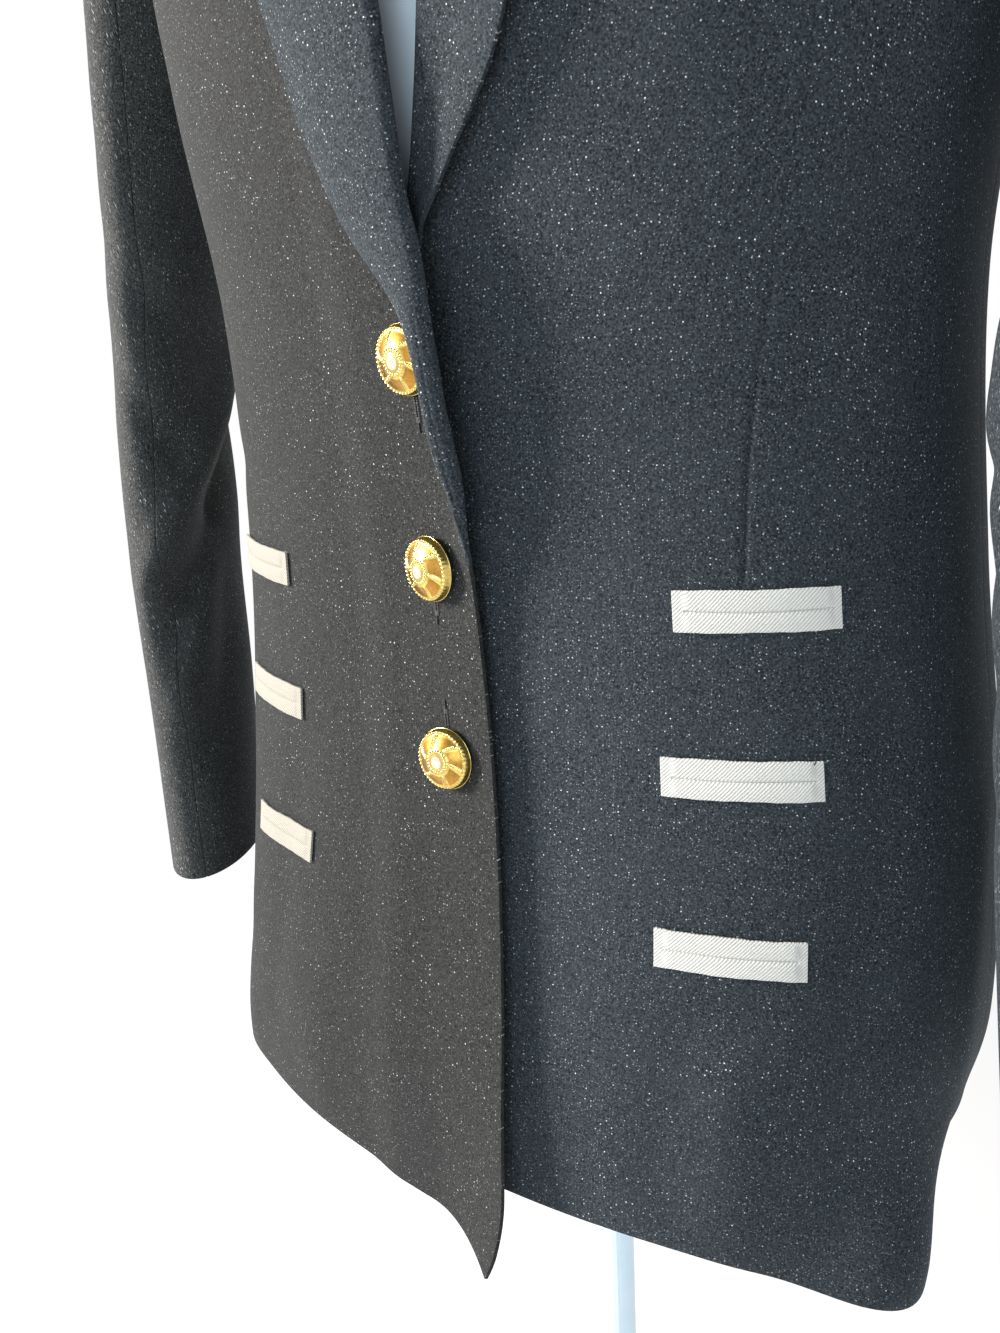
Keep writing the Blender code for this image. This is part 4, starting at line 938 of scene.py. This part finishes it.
def sleeve_point(side, table, creases, turn, down):
    """Places on a sleeve, by turn and by the share of the way down from the armhole."""
    top = table[0].height
    bottom = table[-1].height
    height = top + (bottom - top) * (down - CAP_SHARE) / (1 - CAP_SHARE)
    arm = arm_ring_point(side, table, creases, height, turn)
    start = armhole_point(side, turn)
    full = np.full(np.shape(turn), top)
    end = arm_ring_point(side, table, creases, full, turn)
    below = arm_ring_point(side, table, creases, full - 0.01, turn)
    length = np.linalg.norm(end - start, axis=-1, keepdims=True) * CAP_FULLNESS
    drop = -CAP_DROP - UNDER_DROP * smoothstep(-np.cos(turn))
    leave = stack(side + 0 * turn, 0 * turn, drop) * length
    arrive = unit(below - end) * length
    t = (down / CAP_SHARE)[..., None]
    cap = (
        start * (2 * t ** 3 - 3 * t ** 2 + 1)
        + leave * (t ** 3 - 2 * t ** 2 + t)
        + end * (3 * t ** 2 - 2 * t ** 3)
        + arrive * (t ** 3 - t ** 2)
    )
    return np.where((down < CAP_SHARE)[..., None], cap, arm)


def make_sleeve(side, table, creases, word):
    """The upper and the under piece of one sleeve."""
    gap = SEWN_GAP / 2 / SLEEVE_SEAM_RADIUS
    front = math.radians(FRONT_SEAM)
    back = math.radians(BACK_SEAM)
    pieces = (
        ("sleeve_upper_" + word, back + gap - 2 * math.pi, front - gap, 74),
        ("sleeve_under_" + word, front + gap, back - gap, 48),
    )
    built = []
    for name, start, end, columns in pieces:
        def surface(u, v, start=start, end=end):
            return sleeve_point(side, table, creases, between(start, end, u), v)

        built.append(add_shell(name + "_cloth", surface, even(columns), even(190), flip=side < 0))
    return built


# Welt pockets
def make_welt(side, word, welt, looks):
    """A double welt pocket: two plump lips of twill that meet in a slit."""
    start_x = welt.right_x if side < 0 else welt.left_x
    start = float(angle_for_x(start_x, welt.height))
    near = body_middle(np.array((start, start + 0.1)), np.full(2, welt.height))
    sweep = welt.length / (np.linalg.norm(near[1] - near[0]) / 0.1)
    out = WALL / 2 + REST_GAP + WELT_WALL / 2

    def surface(u, v):
        share = u if side > 0 else 1 - u
        along = share * welt.length
        wobble = 0.00012 * np.sin(along * 190 + welt.height * 300) + 0.00007 * np.sin(along * 610)
        half = WELT_HEIGHT / 2 + wobble * smoothstep(np.abs(v - 0.5) * 4)
        slit = 0.0004 * np.sin(along * 70 + welt.height * 90)
        rise = (v * 2 - 1) * half + slit * (1 - np.abs(v * 2 - 1))
        level = welt.height + rise - welt.drop * share
        ends = smoothstep((along - WELT_END * 0.7) / (WELT_END * 0.7))
        ends = ends * smoothstep((welt.length - WELT_END * 0.7 - along) / (WELT_END * 0.7))
        dip = hill(rise - slit, 0.00045) * ends
        plump = WELT_PLUMP * np.sin(math.pi * np.clip(np.abs(v * 2 - 1), 0, 1)) * ends
        lift = plump - WELT_DIP * dip
        rest = body_relief(side * (start + sweep * share), level)
        return body_point(side * (start + sweep * share), level, out + lift + rest)

    slit_rows = 0.5 + np.array((-0.09, -0.06, -0.04, -0.026, -0.013, 0, 0.013, 0.026, 0.04, 0.06, 0.09))
    rows = np.concatenate((np.linspace(0, 0.4, 12), slit_rows, np.linspace(0.6, 1, 12)))
    name = "welt_" + welt.label + "_" + word + "_twill"
    columns = 90
    piece = add_shell(name, surface, even(columns), rows, WELT_WALL)
    for look in looks:
        piece.data.materials.append(look)
    # The faces along the slit take the second material, a painted shadow.
    middle = int(np.argmin(np.abs(rows - 0.5)))
    margin = round(WELT_END / welt.length * columns)
    for row in range(middle - 2, middle + 2):
        for column in range(margin, columns - margin):
            piece.data.polygons[row * columns + column].material_index = 1
    return piece


# Buttons and buttonholes
def fastening_matrix(fastening):
    """A frame on the right front: +Z out of the cloth, +Y up along it."""
    level = np.array(fastening.height)
    distance = distance_for_x(np.array(fastening.x), level)
    here, across, outward = right_front_frame(level, distance)
    up = np.cross(outward, across)
    matrix = Matrix(np.stack((across, up, outward), -1).tolist()).to_4x4()
    matrix.translation = Vector(here.tolist())
    return matrix


def turned(profile, relief, segments):
    """Points and faces of a turned form whose surface is raised by a relief."""
    radius = np.array([place[0] for place in profile])[:, None]
    height = np.array([place[1] for place in profile])[:, None]
    angle = np.linspace(0, 2 * math.pi, segments, endpoint=False)[None, :]
    height = height + relief(radius, angle)
    points = stack(radius * np.cos(angle), radius * np.sin(angle), height).reshape(-1, 3)
    column = np.arange(segments)
    after = (column + 1) % segments
    faces = []
    for row in range(len(profile) - 1):
        low = row * segments
        high = low + segments
        faces.append(np.stack((low + column, high + column, high + after, low + after), -1))
    return points, np.concatenate(faces)


PETALS = 6
DOME_HEIGHT = 0.0072
FIELD_EDGE = 0.0112
BEAD_RING = 0.0046
BEADS = 22
PEARL_RADIUS = 0.0027


def button_relief(radius, angle):
    """The button's relief: curved ribs between smooth fields, beads, and a rope rim."""
    swirl = angle + 0.55 * (radius - BEAD_RING) / FIELD_EDGE
    rib = np.abs(np.sin(PETALS / 2 * swirl))
    in_field = smoothstep((radius - 0.0058) / 0.0006) * smoothstep((0.0113 - radius) / 0.0005)
    twist = 0.75 + 0.25 * np.sin(radius * 9500 + swirl * 3)
    ribs = 0.00070 * np.exp(-(rib / 0.24) ** 2) * twist * in_field
    bead = 0.00050 * hill(radius - BEAD_RING, 0.00055) * (0.55 + 0.45 * np.cos(BEADS * angle))
    rope = 0.00028 * hill(radius - 0.0121, 0.0006) * np.sin(46 * angle + radius * 2600)
    return ribs + bead + rope


def make_button(fastening, metal, amber, pearl, thread):
    """A domed button with a generic flower of curved ribs, and its thread shank."""
    radii = np.concatenate((np.linspace(0.0, 0.0118, 66), np.linspace(0.0119, BUTTON_RADIUS, 16)))
    dome = []
    for radius in radii:
        height = DOME_HEIGHT * (1 - (radius / 0.0150) ** 2) ** 1.0
        rim = 0.0008 * float(hill(radius - 0.0121, 0.0008))
        fall = 0.0016 * float(smoothstep((radius - 0.0122) / (BUTTON_RADIUS - 0.0122)))
        dome.append((radius, height + rim - fall))
    back = [(BUTTON_RADIUS - 0.0001, 0.0006), (0.0120, 0.0002), (0.0060, 0.0), (0.0, 0.0)]
    points, faces = turned(dome + back, lambda r, a: button_relief(r, a), 240)
    plain = len(dome) * 240
    points[plain:, 2] = np.repeat([place[1] for place in back], 240)
    matrix = fastening_matrix(fastening)
    seat = WALL / 2 + BUTTON_SEAT
    tip = Matrix.Rotation(math.radians(-fastening.turn), 4, "Y")
    place = matrix @ Matrix.Translation((0, 0, seat)) @ tip
    button = add_mesh("button_" + fastening.label + "_metal", points, faces)
    for surface in (metal, amber, pearl):
        button.data.materials.append(surface)
    radius = np.hypot(points[:, 0], points[:, 1])
    angle = np.arctan2(points[:, 1], points[:, 0])
    swirl = angle + 0.55 * (radius - BEAD_RING) / FIELD_EDGE
    field = (np.abs(np.sin(PETALS / 2 * swirl)) > 0.38) & (radius > 0.0060) & (radius < 0.0109)
    middle = radius < PEARL_RADIUS
    kind = np.where(middle, 2, np.where(field, 1, 0))
    kind[plain:] = 0
    faces = np.asarray(faces)
    button.data.polygons.foreach_set("material_index", kind[faces].min(1).astype(np.int32))
    button.data.transform(place)
    shank = make_shank(fastening, matrix, seat, thread)
    return button, shank


def make_shank(fastening, matrix, seat, thread):
    """The wound thread shank between the button and the left front."""
    level = np.array(fastening.height)
    left = body_point(angle_for_x(np.array(fastening.x), level), level, np.array(WALL / 2))
    outward = np.array(matrix.col[2][:3])
    depth = float(dot(np.array(matrix.translation) - left, outward))
    low = -depth + SEAM_GAP
    high = seat + 0.0012
    turns = 9
    points = []
    for i in range(turns * 10 + 1):
        angle = 2 * math.pi * i / 10
        points.append((0.0011 * math.cos(angle), 0.0015 * math.sin(angle),
                       between(low + 0.0004, high, i / (turns * 10))))
    curve = bpy.data.curves.new("shank_" + fastening.label, "CURVE")
    curve.dimensions = "3D"
    curve.bevel_depth = 0.0004
    curve.bevel_resolution = 2
    curve.use_fill_caps = True
    spline = curve.splines.new("POLY")
    spline.points.add(len(points) - 1)
    for point, place in zip(spline.points, points):
        point.co = (*place, 1)
    shank = bpy.data.objects.new("shank_" + fastening.label + "_thread", curve)
    bpy.context.scene.collection.objects.link(shank)
    curve.materials.append(thread)
    curve.transform(matrix)
    return shank


HOLE_HALF = 0.0125
HOLE_SHIFT = {"upper": -0.0090, "middle": -0.0055, "lower": 0.0060}
STITCH_STEP = 0.00062


def capsule(start, end, radius, sides=6):
    """Points and faces of one stitch: a short rounded bar between two places."""
    axis = unit(np.subtract(end, start))
    side = unit(np.cross(axis, (0.3, 0.1, 1.0)))
    other = np.cross(axis, side)
    stations = ((0.0, 0.25), (0.10, 0.8), (0.3, 1.0), (0.7, 1.0), (0.90, 0.8), (1.0, 0.25))
    points = []
    for share, width in stations:
        middle = np.asarray(start) + np.subtract(end, start) * share
        for i in range(sides):
            angle = 2 * math.pi * i / sides
            points.append(middle + (side * math.cos(angle) + other * math.sin(angle)) * radius * width)
    faces = []
    for row in range(len(stations) - 1):
        for i in range(sides):
            after = (i + 1) % sides
            low = row * sides
            faces.append((low + i, low + after, low + sides + after, low + sides + i))
    return points, faces


def add_stitches(name, bars, radius, surface):
    """Join many stitches in one mesh."""
    points = []
    faces = []
    for start, end in bars:
        more, cells = capsule(start, end, radius)
        base = len(points)
        points += more
        faces += [tuple(corner + base for corner in cell) for cell in cells]
    thing = add_mesh(name, points, faces)
    thing.data.materials.append(surface)
    return thing


def make_buttonhole(fastening, thread):
    """An upright buttonhole: a dark slit between two rows of purl stitches."""
    level = np.array(fastening.height)
    distance = float(distance_for_x(np.array(fastening.x), level))
    bars = []
    count = int(2 * HOLE_HALF / STITCH_STEP)
    out = CLOTH / 2

    def on_cloth(aside, rise, lift):
        place = level + HOLE_SHIFT[fastening.label] + rise
        here, across, outward = right_front_frame(place, np.array(distance))
        return here + across * aside + outward * (out + lift)

    for i in range(count + 1):
        rise = -HOLE_HALF + i * STITCH_STEP
        for side in (-1, 1):
            inner = on_cloth(side * 0.00020, rise, 0.0002)
            outer = on_cloth(side * 0.00125, rise + 0.0001 * (i % 3 - 1), -0.0001)
            bars.append((inner, outer))
    for end in (-1, 1):
        for i in range(5):
            rise = end * (HOLE_HALF + 0.0002 + 0.0004 * i)
            bars.append((on_cloth(-0.0013, rise, 0.0001), on_cloth(0.0013, rise, 0.0001)))
    tail = -1 if fastening.label != "lower" else 1
    low = tail * (HOLE_HALF + 0.0020)
    for i in range(4):
        aside = 0.0004 * math.sin(2.1 * i)
        bars.append((on_cloth(aside, low + tail * 0.0009 * i, 0.0004),
                     on_cloth(-aside, low + tail * 0.0009 * (i + 1.4), 0.0001)))
    return add_stitches("buttonhole_" + fastening.label + "_thread", bars, 0.00040, thread)


def make_thread_tail(thread):
    """A loose end of black thread at the outer top corner of the left middle welt."""
    welt = WELTS[1]
    angle = float(angle_for_x(welt.left_x, welt.height)) + welt.length / CREASE_RADIUS * 0.87
    level = welt.height + WELT_HEIGHT / 2 - welt.drop
    places = ((0.0, -0.0012, 0.0026), (0.006, 0.0004, 0.0034), (0.004, 0.0022, 0.0030),
              (0.013, 0.0014, 0.0026))
    points = [body_point(np.array(angle + turn), np.array(level + rise), np.array(out))
              for turn, rise, out in places]
    return add_stitches("thread_tail", list(zip(points[:-1], points[1:])), 0.00030, thread)


# Materials
def new_material(name, roughness, metallic=0.0):
    """A material and its shader, nodes and links."""
    surface = bpy.data.materials.new(name)
    surface.use_nodes = True
    nodes = surface.node_tree.nodes
    links = surface.node_tree.links
    shader = nodes["Principled BSDF"]
    shader.inputs["Roughness"].default_value = roughness
    shader.inputs["Metallic"].default_value = metallic
    return surface, shader, nodes, links


def add_node(nodes, kind, values=(), **settings):
    """A node with its settings, and the values of some of its sockets."""
    node = nodes.new(kind)
    for name, value in settings.items():
        setattr(node, name, value)
    for socket, value in values:
        node.inputs[socket].default_value = value
    return node


def noise(nodes, links, coordinate, scale, detail=2.0):
    """A noise over object space; its strength comes out of Fac."""
    node = add_node(nodes, "ShaderNodeTexNoise", (("Scale", scale), ("Detail", detail)))
    links.new(coordinate, node.inputs["Vector"])
    return node.outputs["Fac"]


def ramp(nodes, links, value, low, high):
    """0 below low, 1 above high."""
    node = add_node(nodes, "ShaderNodeMapRange", (("From Min", low), ("From Max", high)))
    links.new(value, node.inputs["Value"])
    return node.outputs["Result"]


def times(nodes, links, first, second):
    """The product of two values."""
    node = add_node(nodes, "ShaderNodeMath", operation="MULTIPLY")
    for index, value in enumerate((first, second)):
        if isinstance(value, (int, float)):
            node.inputs[index].default_value = value
        else:
            links.new(value, node.inputs[index])
    return node.outputs["Value"]


def mix_colour(nodes, links, share, first, second):
    """A colour between two others."""
    node = add_node(nodes, "ShaderNodeMix", data_type="RGBA")
    links.new(share, node.inputs["Factor"])
    for index, value in ((6, first), (7, second)):
        if isinstance(value, tuple):
            node.inputs[index].default_value = (*value, 1.0)
        else:
            links.new(value, node.inputs[index])
    return node.outputs[2]


def add_bump(nodes, links, shader, heights):
    """Chain bumps of a height, a distance and a strength into the shader."""
    normal = None
    for height, distance, strength in heights:
        node = add_node(nodes, "ShaderNodeBump", (("Distance", distance), ("Strength", strength)))
        links.new(height, node.inputs["Height"])
        if normal is not None:
            links.new(normal, node.inputs["Normal"])
        normal = node.outputs["Normal"]
    links.new(normal, shader.inputs["Normal"])


def flecks(nodes, links, coordinate, spacing, radius, kept):
    """Small round specks: a share of the cells of a flat Voronoi texture."""
    cells = add_node(nodes, "ShaderNodeTexVoronoi", (("Scale", 1 / spacing), ("Randomness", 1.0)),
                     voronoi_dimensions="2D")
    links.new(coordinate, cells.inputs["Vector"])
    edge = radius / spacing
    dots = ramp(nodes, links, cells.outputs["Distance"], edge * 1.2, edge * 0.6)
    split = add_node(nodes, "ShaderNodeSeparateColor")
    links.new(cells.outputs["Color"], split.inputs["Color"])
    chosen = ramp(nodes, links, split.outputs["Red"], 1 - kept, 1 - kept + 0.02)
    strength = add_node(nodes, "ShaderNodeMath", ((1, 2.2),), operation="POWER")
    links.new(split.outputs["Green"], strength.inputs[0])
    return times(nodes, links, times(nodes, links, dots, chosen), strength.outputs["Value"])


def crepe(name, fleck_share, dark, light):
    """Black crepe: a pebbled matt weave with silvery metal flecks in loose clusters."""
    surface, shader, nodes, links = new_material(name, 0.86)
    shader.inputs["Sheen Weight"].default_value = 0.05
    shader.inputs["Sheen Roughness"].default_value = 0.45
    shader.inputs["Sheen Tint"].default_value = (0.70, 0.80, 0.90, 1.0)
    shader.inputs["Specular IOR Level"].default_value = 0.16
    place = add_node(nodes, "ShaderNodeTexCoord").outputs["Object"]
    flat = add_node(nodes, "ShaderNodeUVMap", uv_map="metres").outputs["UV"]
    grain = noise(nodes, links, place, 1250.0, 2.0)
    pebble = noise(nodes, links, place, 760.0, 2.0)
    cloud = noise(nodes, links, place, 38.0, 4.0)
    cluster = ramp(nodes, links, noise(nodes, links, place, 30.0, 3.0), 0.34, 0.66)
    base = mix_colour(nodes, links, ramp(nodes, links, grain, 0.34, 0.68), dark, light)
    base = mix_colour(nodes, links, times(nodes, links, ramp(nodes, links, cloud, 0.35, 0.75), 0.25),
                      base, tuple(value * 0.75 for value in light))
    large = flecks(nodes, links, flat, 0.0024, 0.00028, fleck_share)
    small = flecks(nodes, links, flat, 0.0012, 0.00018, fleck_share)
    spread = add_node(nodes, "ShaderNodeMapRange", (("To Min", 0.30), ("To Max", 1.0)))
    links.new(cluster, spread.inputs["Value"])
    large = times(nodes, links, large, spread.outputs["Result"])
    both = add_node(nodes, "ShaderNodeMath", operation="MAXIMUM")
    links.new(large, both.inputs[0])
    links.new(times(nodes, links, small, 0.45), both.inputs[1])
    speck = both.outputs["Value"]
    colour = mix_colour(nodes, links, speck, base, (0.90, 0.93, 0.95))
    links.new(colour, shader.inputs["Base Color"])
    rough = add_node(nodes, "ShaderNodeMapRange", (("To Min", 0.86), ("To Max", 0.35)))
    links.new(speck, rough.inputs["Value"])
    links.new(rough.outputs["Result"], shader.inputs["Roughness"])
    add_bump(nodes, links, shader, (
        (pebble, 0.0005, 0.30),
        (grain, 0.0003, 0.45),
        (speck, 0.0002, 0.40),
    ))
    return surface


TWILL_PITCH = 0.00105


def twill(name, low, high):
    """Ivory twill with fine diagonal ribs."""
    surface, shader, nodes, links = new_material(name, 0.78)
    shader.inputs["Sheen Weight"].default_value = 0.15
    shader.inputs["Sheen Roughness"].default_value = 0.5
    coordinate = add_node(nodes, "ShaderNodeUVMap", uv_map="metres").outputs["UV"]
    place = add_node(nodes, "ShaderNodeTexCoord").outputs["Object"]
    turn = add_node(nodes, "ShaderNodeMapping", (("Rotation", (0, 0, math.radians(45))),))
    links.new(coordinate, turn.inputs["Vector"])
    wave = add_node(nodes, "ShaderNodeTexWave", (
        ("Scale", 2 * math.pi / 20 / TWILL_PITCH),
        ("Distortion", 0.6),
        ("Detail Scale", 3.0),
    ), wave_type="BANDS", bands_direction="X")
    links.new(turn.outputs["Vector"], wave.inputs["Vector"])
    ribs = wave.outputs["Fac"]
    fuzz = noise(nodes, links, place, 2400.0, 2.0)
    stain = noise(nodes, links, place, 120.0, 3.0)
    colour = mix_colour(nodes, links, ribs, low, high)
    share = times(nodes, links, ramp(nodes, links, stain, 0.45, 0.75), 0.25)
    colour = mix_colour(nodes, links, share, colour, tuple(value * 0.85 for value in high))
    links.new(colour, shader.inputs["Base Color"])
    add_bump(nodes, links, shader, ((ribs, 0.0003, 0.45), (fuzz, 0.0002, 0.25)))
    return surface


def gold(name, colour, roughness):
    """Plated metal with slight wear."""
    surface, shader, nodes, links = new_material(name, roughness, 1.0)
    place = add_node(nodes, "ShaderNodeTexCoord").outputs["Object"]
    wear = ramp(nodes, links, noise(nodes, links, place, 900.0, 3.0), 0.40, 0.72)
    darker = tuple(value * 0.72 for value in colour)
    links.new(mix_colour(nodes, links, wear, colour, darker), shader.inputs["Base Color"])
    scratch = noise(nodes, links, place, 3800.0, 2.0)
    rough = add_node(nodes, "ShaderNodeMapRange",
                     (("To Min", roughness * 0.8), ("To Max", roughness * 1.5)))
    links.new(scratch, rough.inputs["Value"])
    links.new(rough.outputs["Result"], shader.inputs["Roughness"])
    add_bump(nodes, links, shader, ((scratch, 0.0001, 0.10),))
    return surface


def mottled(name, low, high, roughness, scale, grain_scale, strength):
    """A plain surface with a slight change of shade and a fine grain."""
    surface, shader, nodes, links = new_material(name, roughness)
    place = add_node(nodes, "ShaderNodeTexCoord").outputs["Object"]
    shade = ramp(nodes, links, noise(nodes, links, place, scale, 3.0), 0.35, 0.65)
    links.new(mix_colour(nodes, links, shade, low, high), shader.inputs["Base Color"])
    add_bump(nodes, links, shader, ((noise(nodes, links, place, grain_scale, 2.0), 0.0003, strength),))
    return surface


# Stage
def add_area(name, place, target, size, power, colour):
    """A square soft light that looks at a place."""
    data = bpy.data.lights.new(name, "AREA")
    data.size = size
    data.energy = power
    data.color = colour
    thing = bpy.data.objects.new(name, data)
    thing.location = place
    direction = Vector(target) - Vector(place)
    thing.rotation_euler = direction.to_track_quat("-Z", "Y").to_euler()
    bpy.context.scene.collection.objects.link(thing)


def pale_floor():
    """A pale floor that passes into the white of the room away from the stand."""
    surface = mottled("pale_floor", (0.76, 0.76, 0.76), (0.80, 0.80, 0.80), 0.6, 2.0, 60.0, 0.1)
    nodes = surface.node_tree.nodes
    links = surface.node_tree.links
    reach = add_node(nodes, "ShaderNodeVectorMath", operation="LENGTH")
    links.new(add_node(nodes, "ShaderNodeTexCoord").outputs["Object"], reach.inputs[0])
    glow = add_node(nodes, "ShaderNodeEmission")
    blend = add_node(nodes, "ShaderNodeMixShader")
    links.new(ramp(nodes, links, reach.outputs["Value"], 0.5, 2.0), blend.inputs["Fac"])
    links.new(nodes["Principled BSDF"].outputs["BSDF"], blend.inputs[1])
    links.new(glow.outputs["Emission"], blend.inputs[2])
    links.new(blend.outputs["Shader"], nodes["Material Output"].inputs["Surface"])
    return surface


def make_stage():
    """The pale floor, the soft lights, the pale surroundings and the camera."""
    bpy.ops.mesh.primitive_circle_add(vertices=96, radius=7.0, fill_type="NGON")
    floor = bpy.context.object
    floor.name = "floor"
    floor.location.z = -0.0005
    floor.data.materials.append(pale_floor())
    world = bpy.data.worlds.new("pale_room")
    world.use_nodes = True
    nodes = world.node_tree.nodes
    links = world.node_tree.links
    direction = add_node(nodes, "ShaderNodeTexCoord").outputs["Generated"]
    way = add_node(nodes, "ShaderNodeVectorMath", ((1, (-0.57, 0.82, 0.0)),), operation="DOT_PRODUCT")
    links.new(direction, way.inputs[0])
    rise = add_node(nodes, "ShaderNodeSeparateXYZ")
    links.new(direction, rise.inputs["Vector"])
    bright = add_node(nodes, "ShaderNodeMath", operation="MAXIMUM")
    links.new(ramp(nodes, links, way.outputs["Value"], 0.10, 0.55), bright.inputs[0])
    links.new(ramp(nodes, links, rise.outputs["Z"], 0.50, 0.22), bright.inputs[1])
    room = mix_colour(nodes, links, bright.outputs["Value"], (0.28, 0.32, 0.36), (1.0, 1.0, 1.0))
    links.new(room, nodes["Background"].inputs["Color"])
    bpy.context.scene.world = world
    bpy.context.scene.view_settings.view_transform = "Standard"
    chest = (0.0, -0.10, 1.0)
    add_area("key", (-2.15, -1.50, 1.80), chest, 0.7, 190.0, (1.0, 0.93, 0.86))
    add_area("fill", (0.75, -2.45, 1.5), chest, 1.4, 25.0, (0.70, 0.88, 1.0))
    data = bpy.data.cameras.new("camera")
    data.sensor_fit = "HORIZONTAL"
    data.sensor_width = CAMERA_SENSOR
    data.lens = CAMERA_LENS
    data.clip_start = 0.01
    camera = bpy.data.objects.new("camera", data)
    axes = zip(CAMERA_RIGHT, CAMERA_UP, (-value for value in CAMERA_AHEAD))
    matrix = Matrix([list(row) for row in axes]).to_4x4()
    matrix.translation = Vector(CAMERA_PLACE)
    camera.matrix_world = matrix
    bpy.context.scene.collection.objects.link(camera)
    bpy.context.scene.camera = camera


# The dress form
def make_form():
    """Weld the form's solid into one body with a smooth skin."""
    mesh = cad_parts["dress_form"].data.copy()
    shape = bmesh.new()
    shape.from_mesh(mesh)
    bmesh.ops.remove_doubles(shape, verts=shape.verts, dist=0.00005)
    shape.to_mesh(mesh)
    shape.free()
    mesh.polygons.foreach_set("use_smooth", [True] * len(mesh.polygons))
    mesh.set_sharp_from_angle(angle=0.7)
    thing = bpy.data.objects.new("dress_form_skin", mesh)
    bpy.context.scene.collection.objects.link(thing)
    return thing


# Finishing the pieces
Cut = namedtuple("Cut", "node width length area held rests_on")


def finish_piece(thing, node, surface=None):
    """Give a piece its material and body, and hide the part's node that it stands for."""
    if surface is not None:
        thing.data.materials.clear()
        thing.data.materials.append(surface)
    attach(thing, "root")
    if node:
        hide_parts(node)


def main():
    """Dress the part."""
    black = crepe("black_crepe", 0.40, (0.0046, 0.0062, 0.0076), (0.046, 0.058, 0.068))
    # Painted light: the right front takes a warmer, darker copy of the black crepe. Its colour stands
    # in for the warm key light, which falls on it more strongly than on the left front.
    right_front_painted_light_crepe = crepe("black_crepe_painted_light_right_front", 0.24, (0.0050, 0.0052, 0.0052), (0.040, 0.041, 0.0405))
    # Painted light: the right sleeve takes a lighter copy of the black crepe, which stands in for the
    # light on its front.
    plain = crepe("black_crepe_painted_light_sleeve", 0.44, (0.0066, 0.0070, 0.0070), (0.068, 0.072, 0.072))
    # The right front and the right sleeve take these painted-light copies. The other pieces take the
    # black crepe.
    looks = {"front_right": right_front_painted_light_crepe, "sleeve_upper_right": plain, "sleeve_under_right": plain}
    ivory = {
        1: twill("ivory_twill", (0.40, 0.39, 0.355), (0.68, 0.67, 0.635)),
        # Painted shade: the right welts take a darker copy of the twill, which holds down the stronger
        # light falling on them.
        -1: twill("ivory_twill_right_painted_shade", (0.215, 0.20, 0.165), (0.36, 0.345, 0.30)),
    }
    # Painted shadow: a dark taupe for the faces along the slit between the welt lips, where shade
    # falls.
    slit = mottled("welt_slit_painted_shadow", (0.13, 0.115, 0.095), (0.24, 0.215, 0.18), 0.8, 600.0, 3000.0, 0.2)
    metal = gold("gold_metal", (0.76, 0.57, 0.17), 0.20)
    amber = gold("amber_gold", (0.47, 0.25, 0.050), 0.28)
    pearl = mottled("pearl", (0.36, 0.34, 0.28), (0.50, 0.48, 0.42), 0.18, 700.0, 2000.0, 0.05)
    thread = mottled("black_thread", (0.008, 0.008, 0.009), (0.020, 0.020, 0.022), 0.6, 900.0,
                     4000.0, 0.4)
    # The form's pale blue-grey is partly its own tone and partly painted shade: it is set darker to
    # match the shade on the form in the V at the neck.
    skin = mottled("white_form", (0.60, 0.68, 0.75), (0.68, 0.75, 0.81), 0.50, 14.0, 900.0, 0.12)
    paint = mottled("white_paint", (0.56, 0.70, 0.80), (0.62, 0.75, 0.84), 0.32, 40.0, 1400.0, 0.05)
    pieces = {
        "front_right": make_front_right(),
        "front_left": make_front_left(),
        "back_left": make_back("back_left_cloth", 1),
        "back_right": make_back("back_right_cloth", -1),
        "lapel_right": make_lapel("lapel_right_cloth", RIGHT_LAPEL, RIGHT_EDGE, -1),
        "lapel_left": make_lapel("lapel_left_cloth", LEFT_LAPEL, LEFT_EDGE, 1),
        "collar": make_collar(),
    }
    arms = (("right", -1, RIGHT_ARM, RIGHT_ARM_CREASES), ("left", 1, LEFT_ARM, LEFT_ARM_CREASES))
    for word, side, table, creases in arms:
        upper, under = make_sleeve(side, table, creases, word)
        pieces["sleeve_upper_" + word] = upper
        pieces["sleeve_under_" + word] = under
    form = make_form()
    finish_piece(form, "dress_form", skin)
    for node, piece in pieces.items():
        finish_piece(piece, node, looks.get(node, black))
    for word, side in (("right", -1), ("left", 1)):
        for welt in WELTS:
            # The right welts take the twill's painted-shade copy, and every welt's slit takes the
            # painted-shadow material.
            piece = make_welt(side, word, welt, (ivory[side], slit))
            finish_piece(piece, "welt_" + welt.label + "_" + word)
    for fastening in FASTENINGS:
        button, shank = make_button(fastening, metal, amber, pearl, thread)
        finish_piece(button, "button_" + fastening.label)
        finish_piece(shank, None)
        finish_piece(make_buttonhole(fastening, thread), None)
    finish_piece(make_thread_tail(thread), None)
    for name in ("stand_base", "stand_hub", "stand_pole"):
        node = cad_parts[name]
        node.data.materials.clear()
        node.data.materials.append(paint)
    make_stage()


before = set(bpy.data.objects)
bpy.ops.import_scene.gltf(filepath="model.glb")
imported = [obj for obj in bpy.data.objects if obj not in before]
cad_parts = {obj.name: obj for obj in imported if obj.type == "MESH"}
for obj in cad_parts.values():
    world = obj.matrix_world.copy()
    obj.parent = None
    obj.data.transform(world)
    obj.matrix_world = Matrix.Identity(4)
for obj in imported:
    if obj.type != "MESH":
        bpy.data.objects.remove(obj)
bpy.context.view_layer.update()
main()
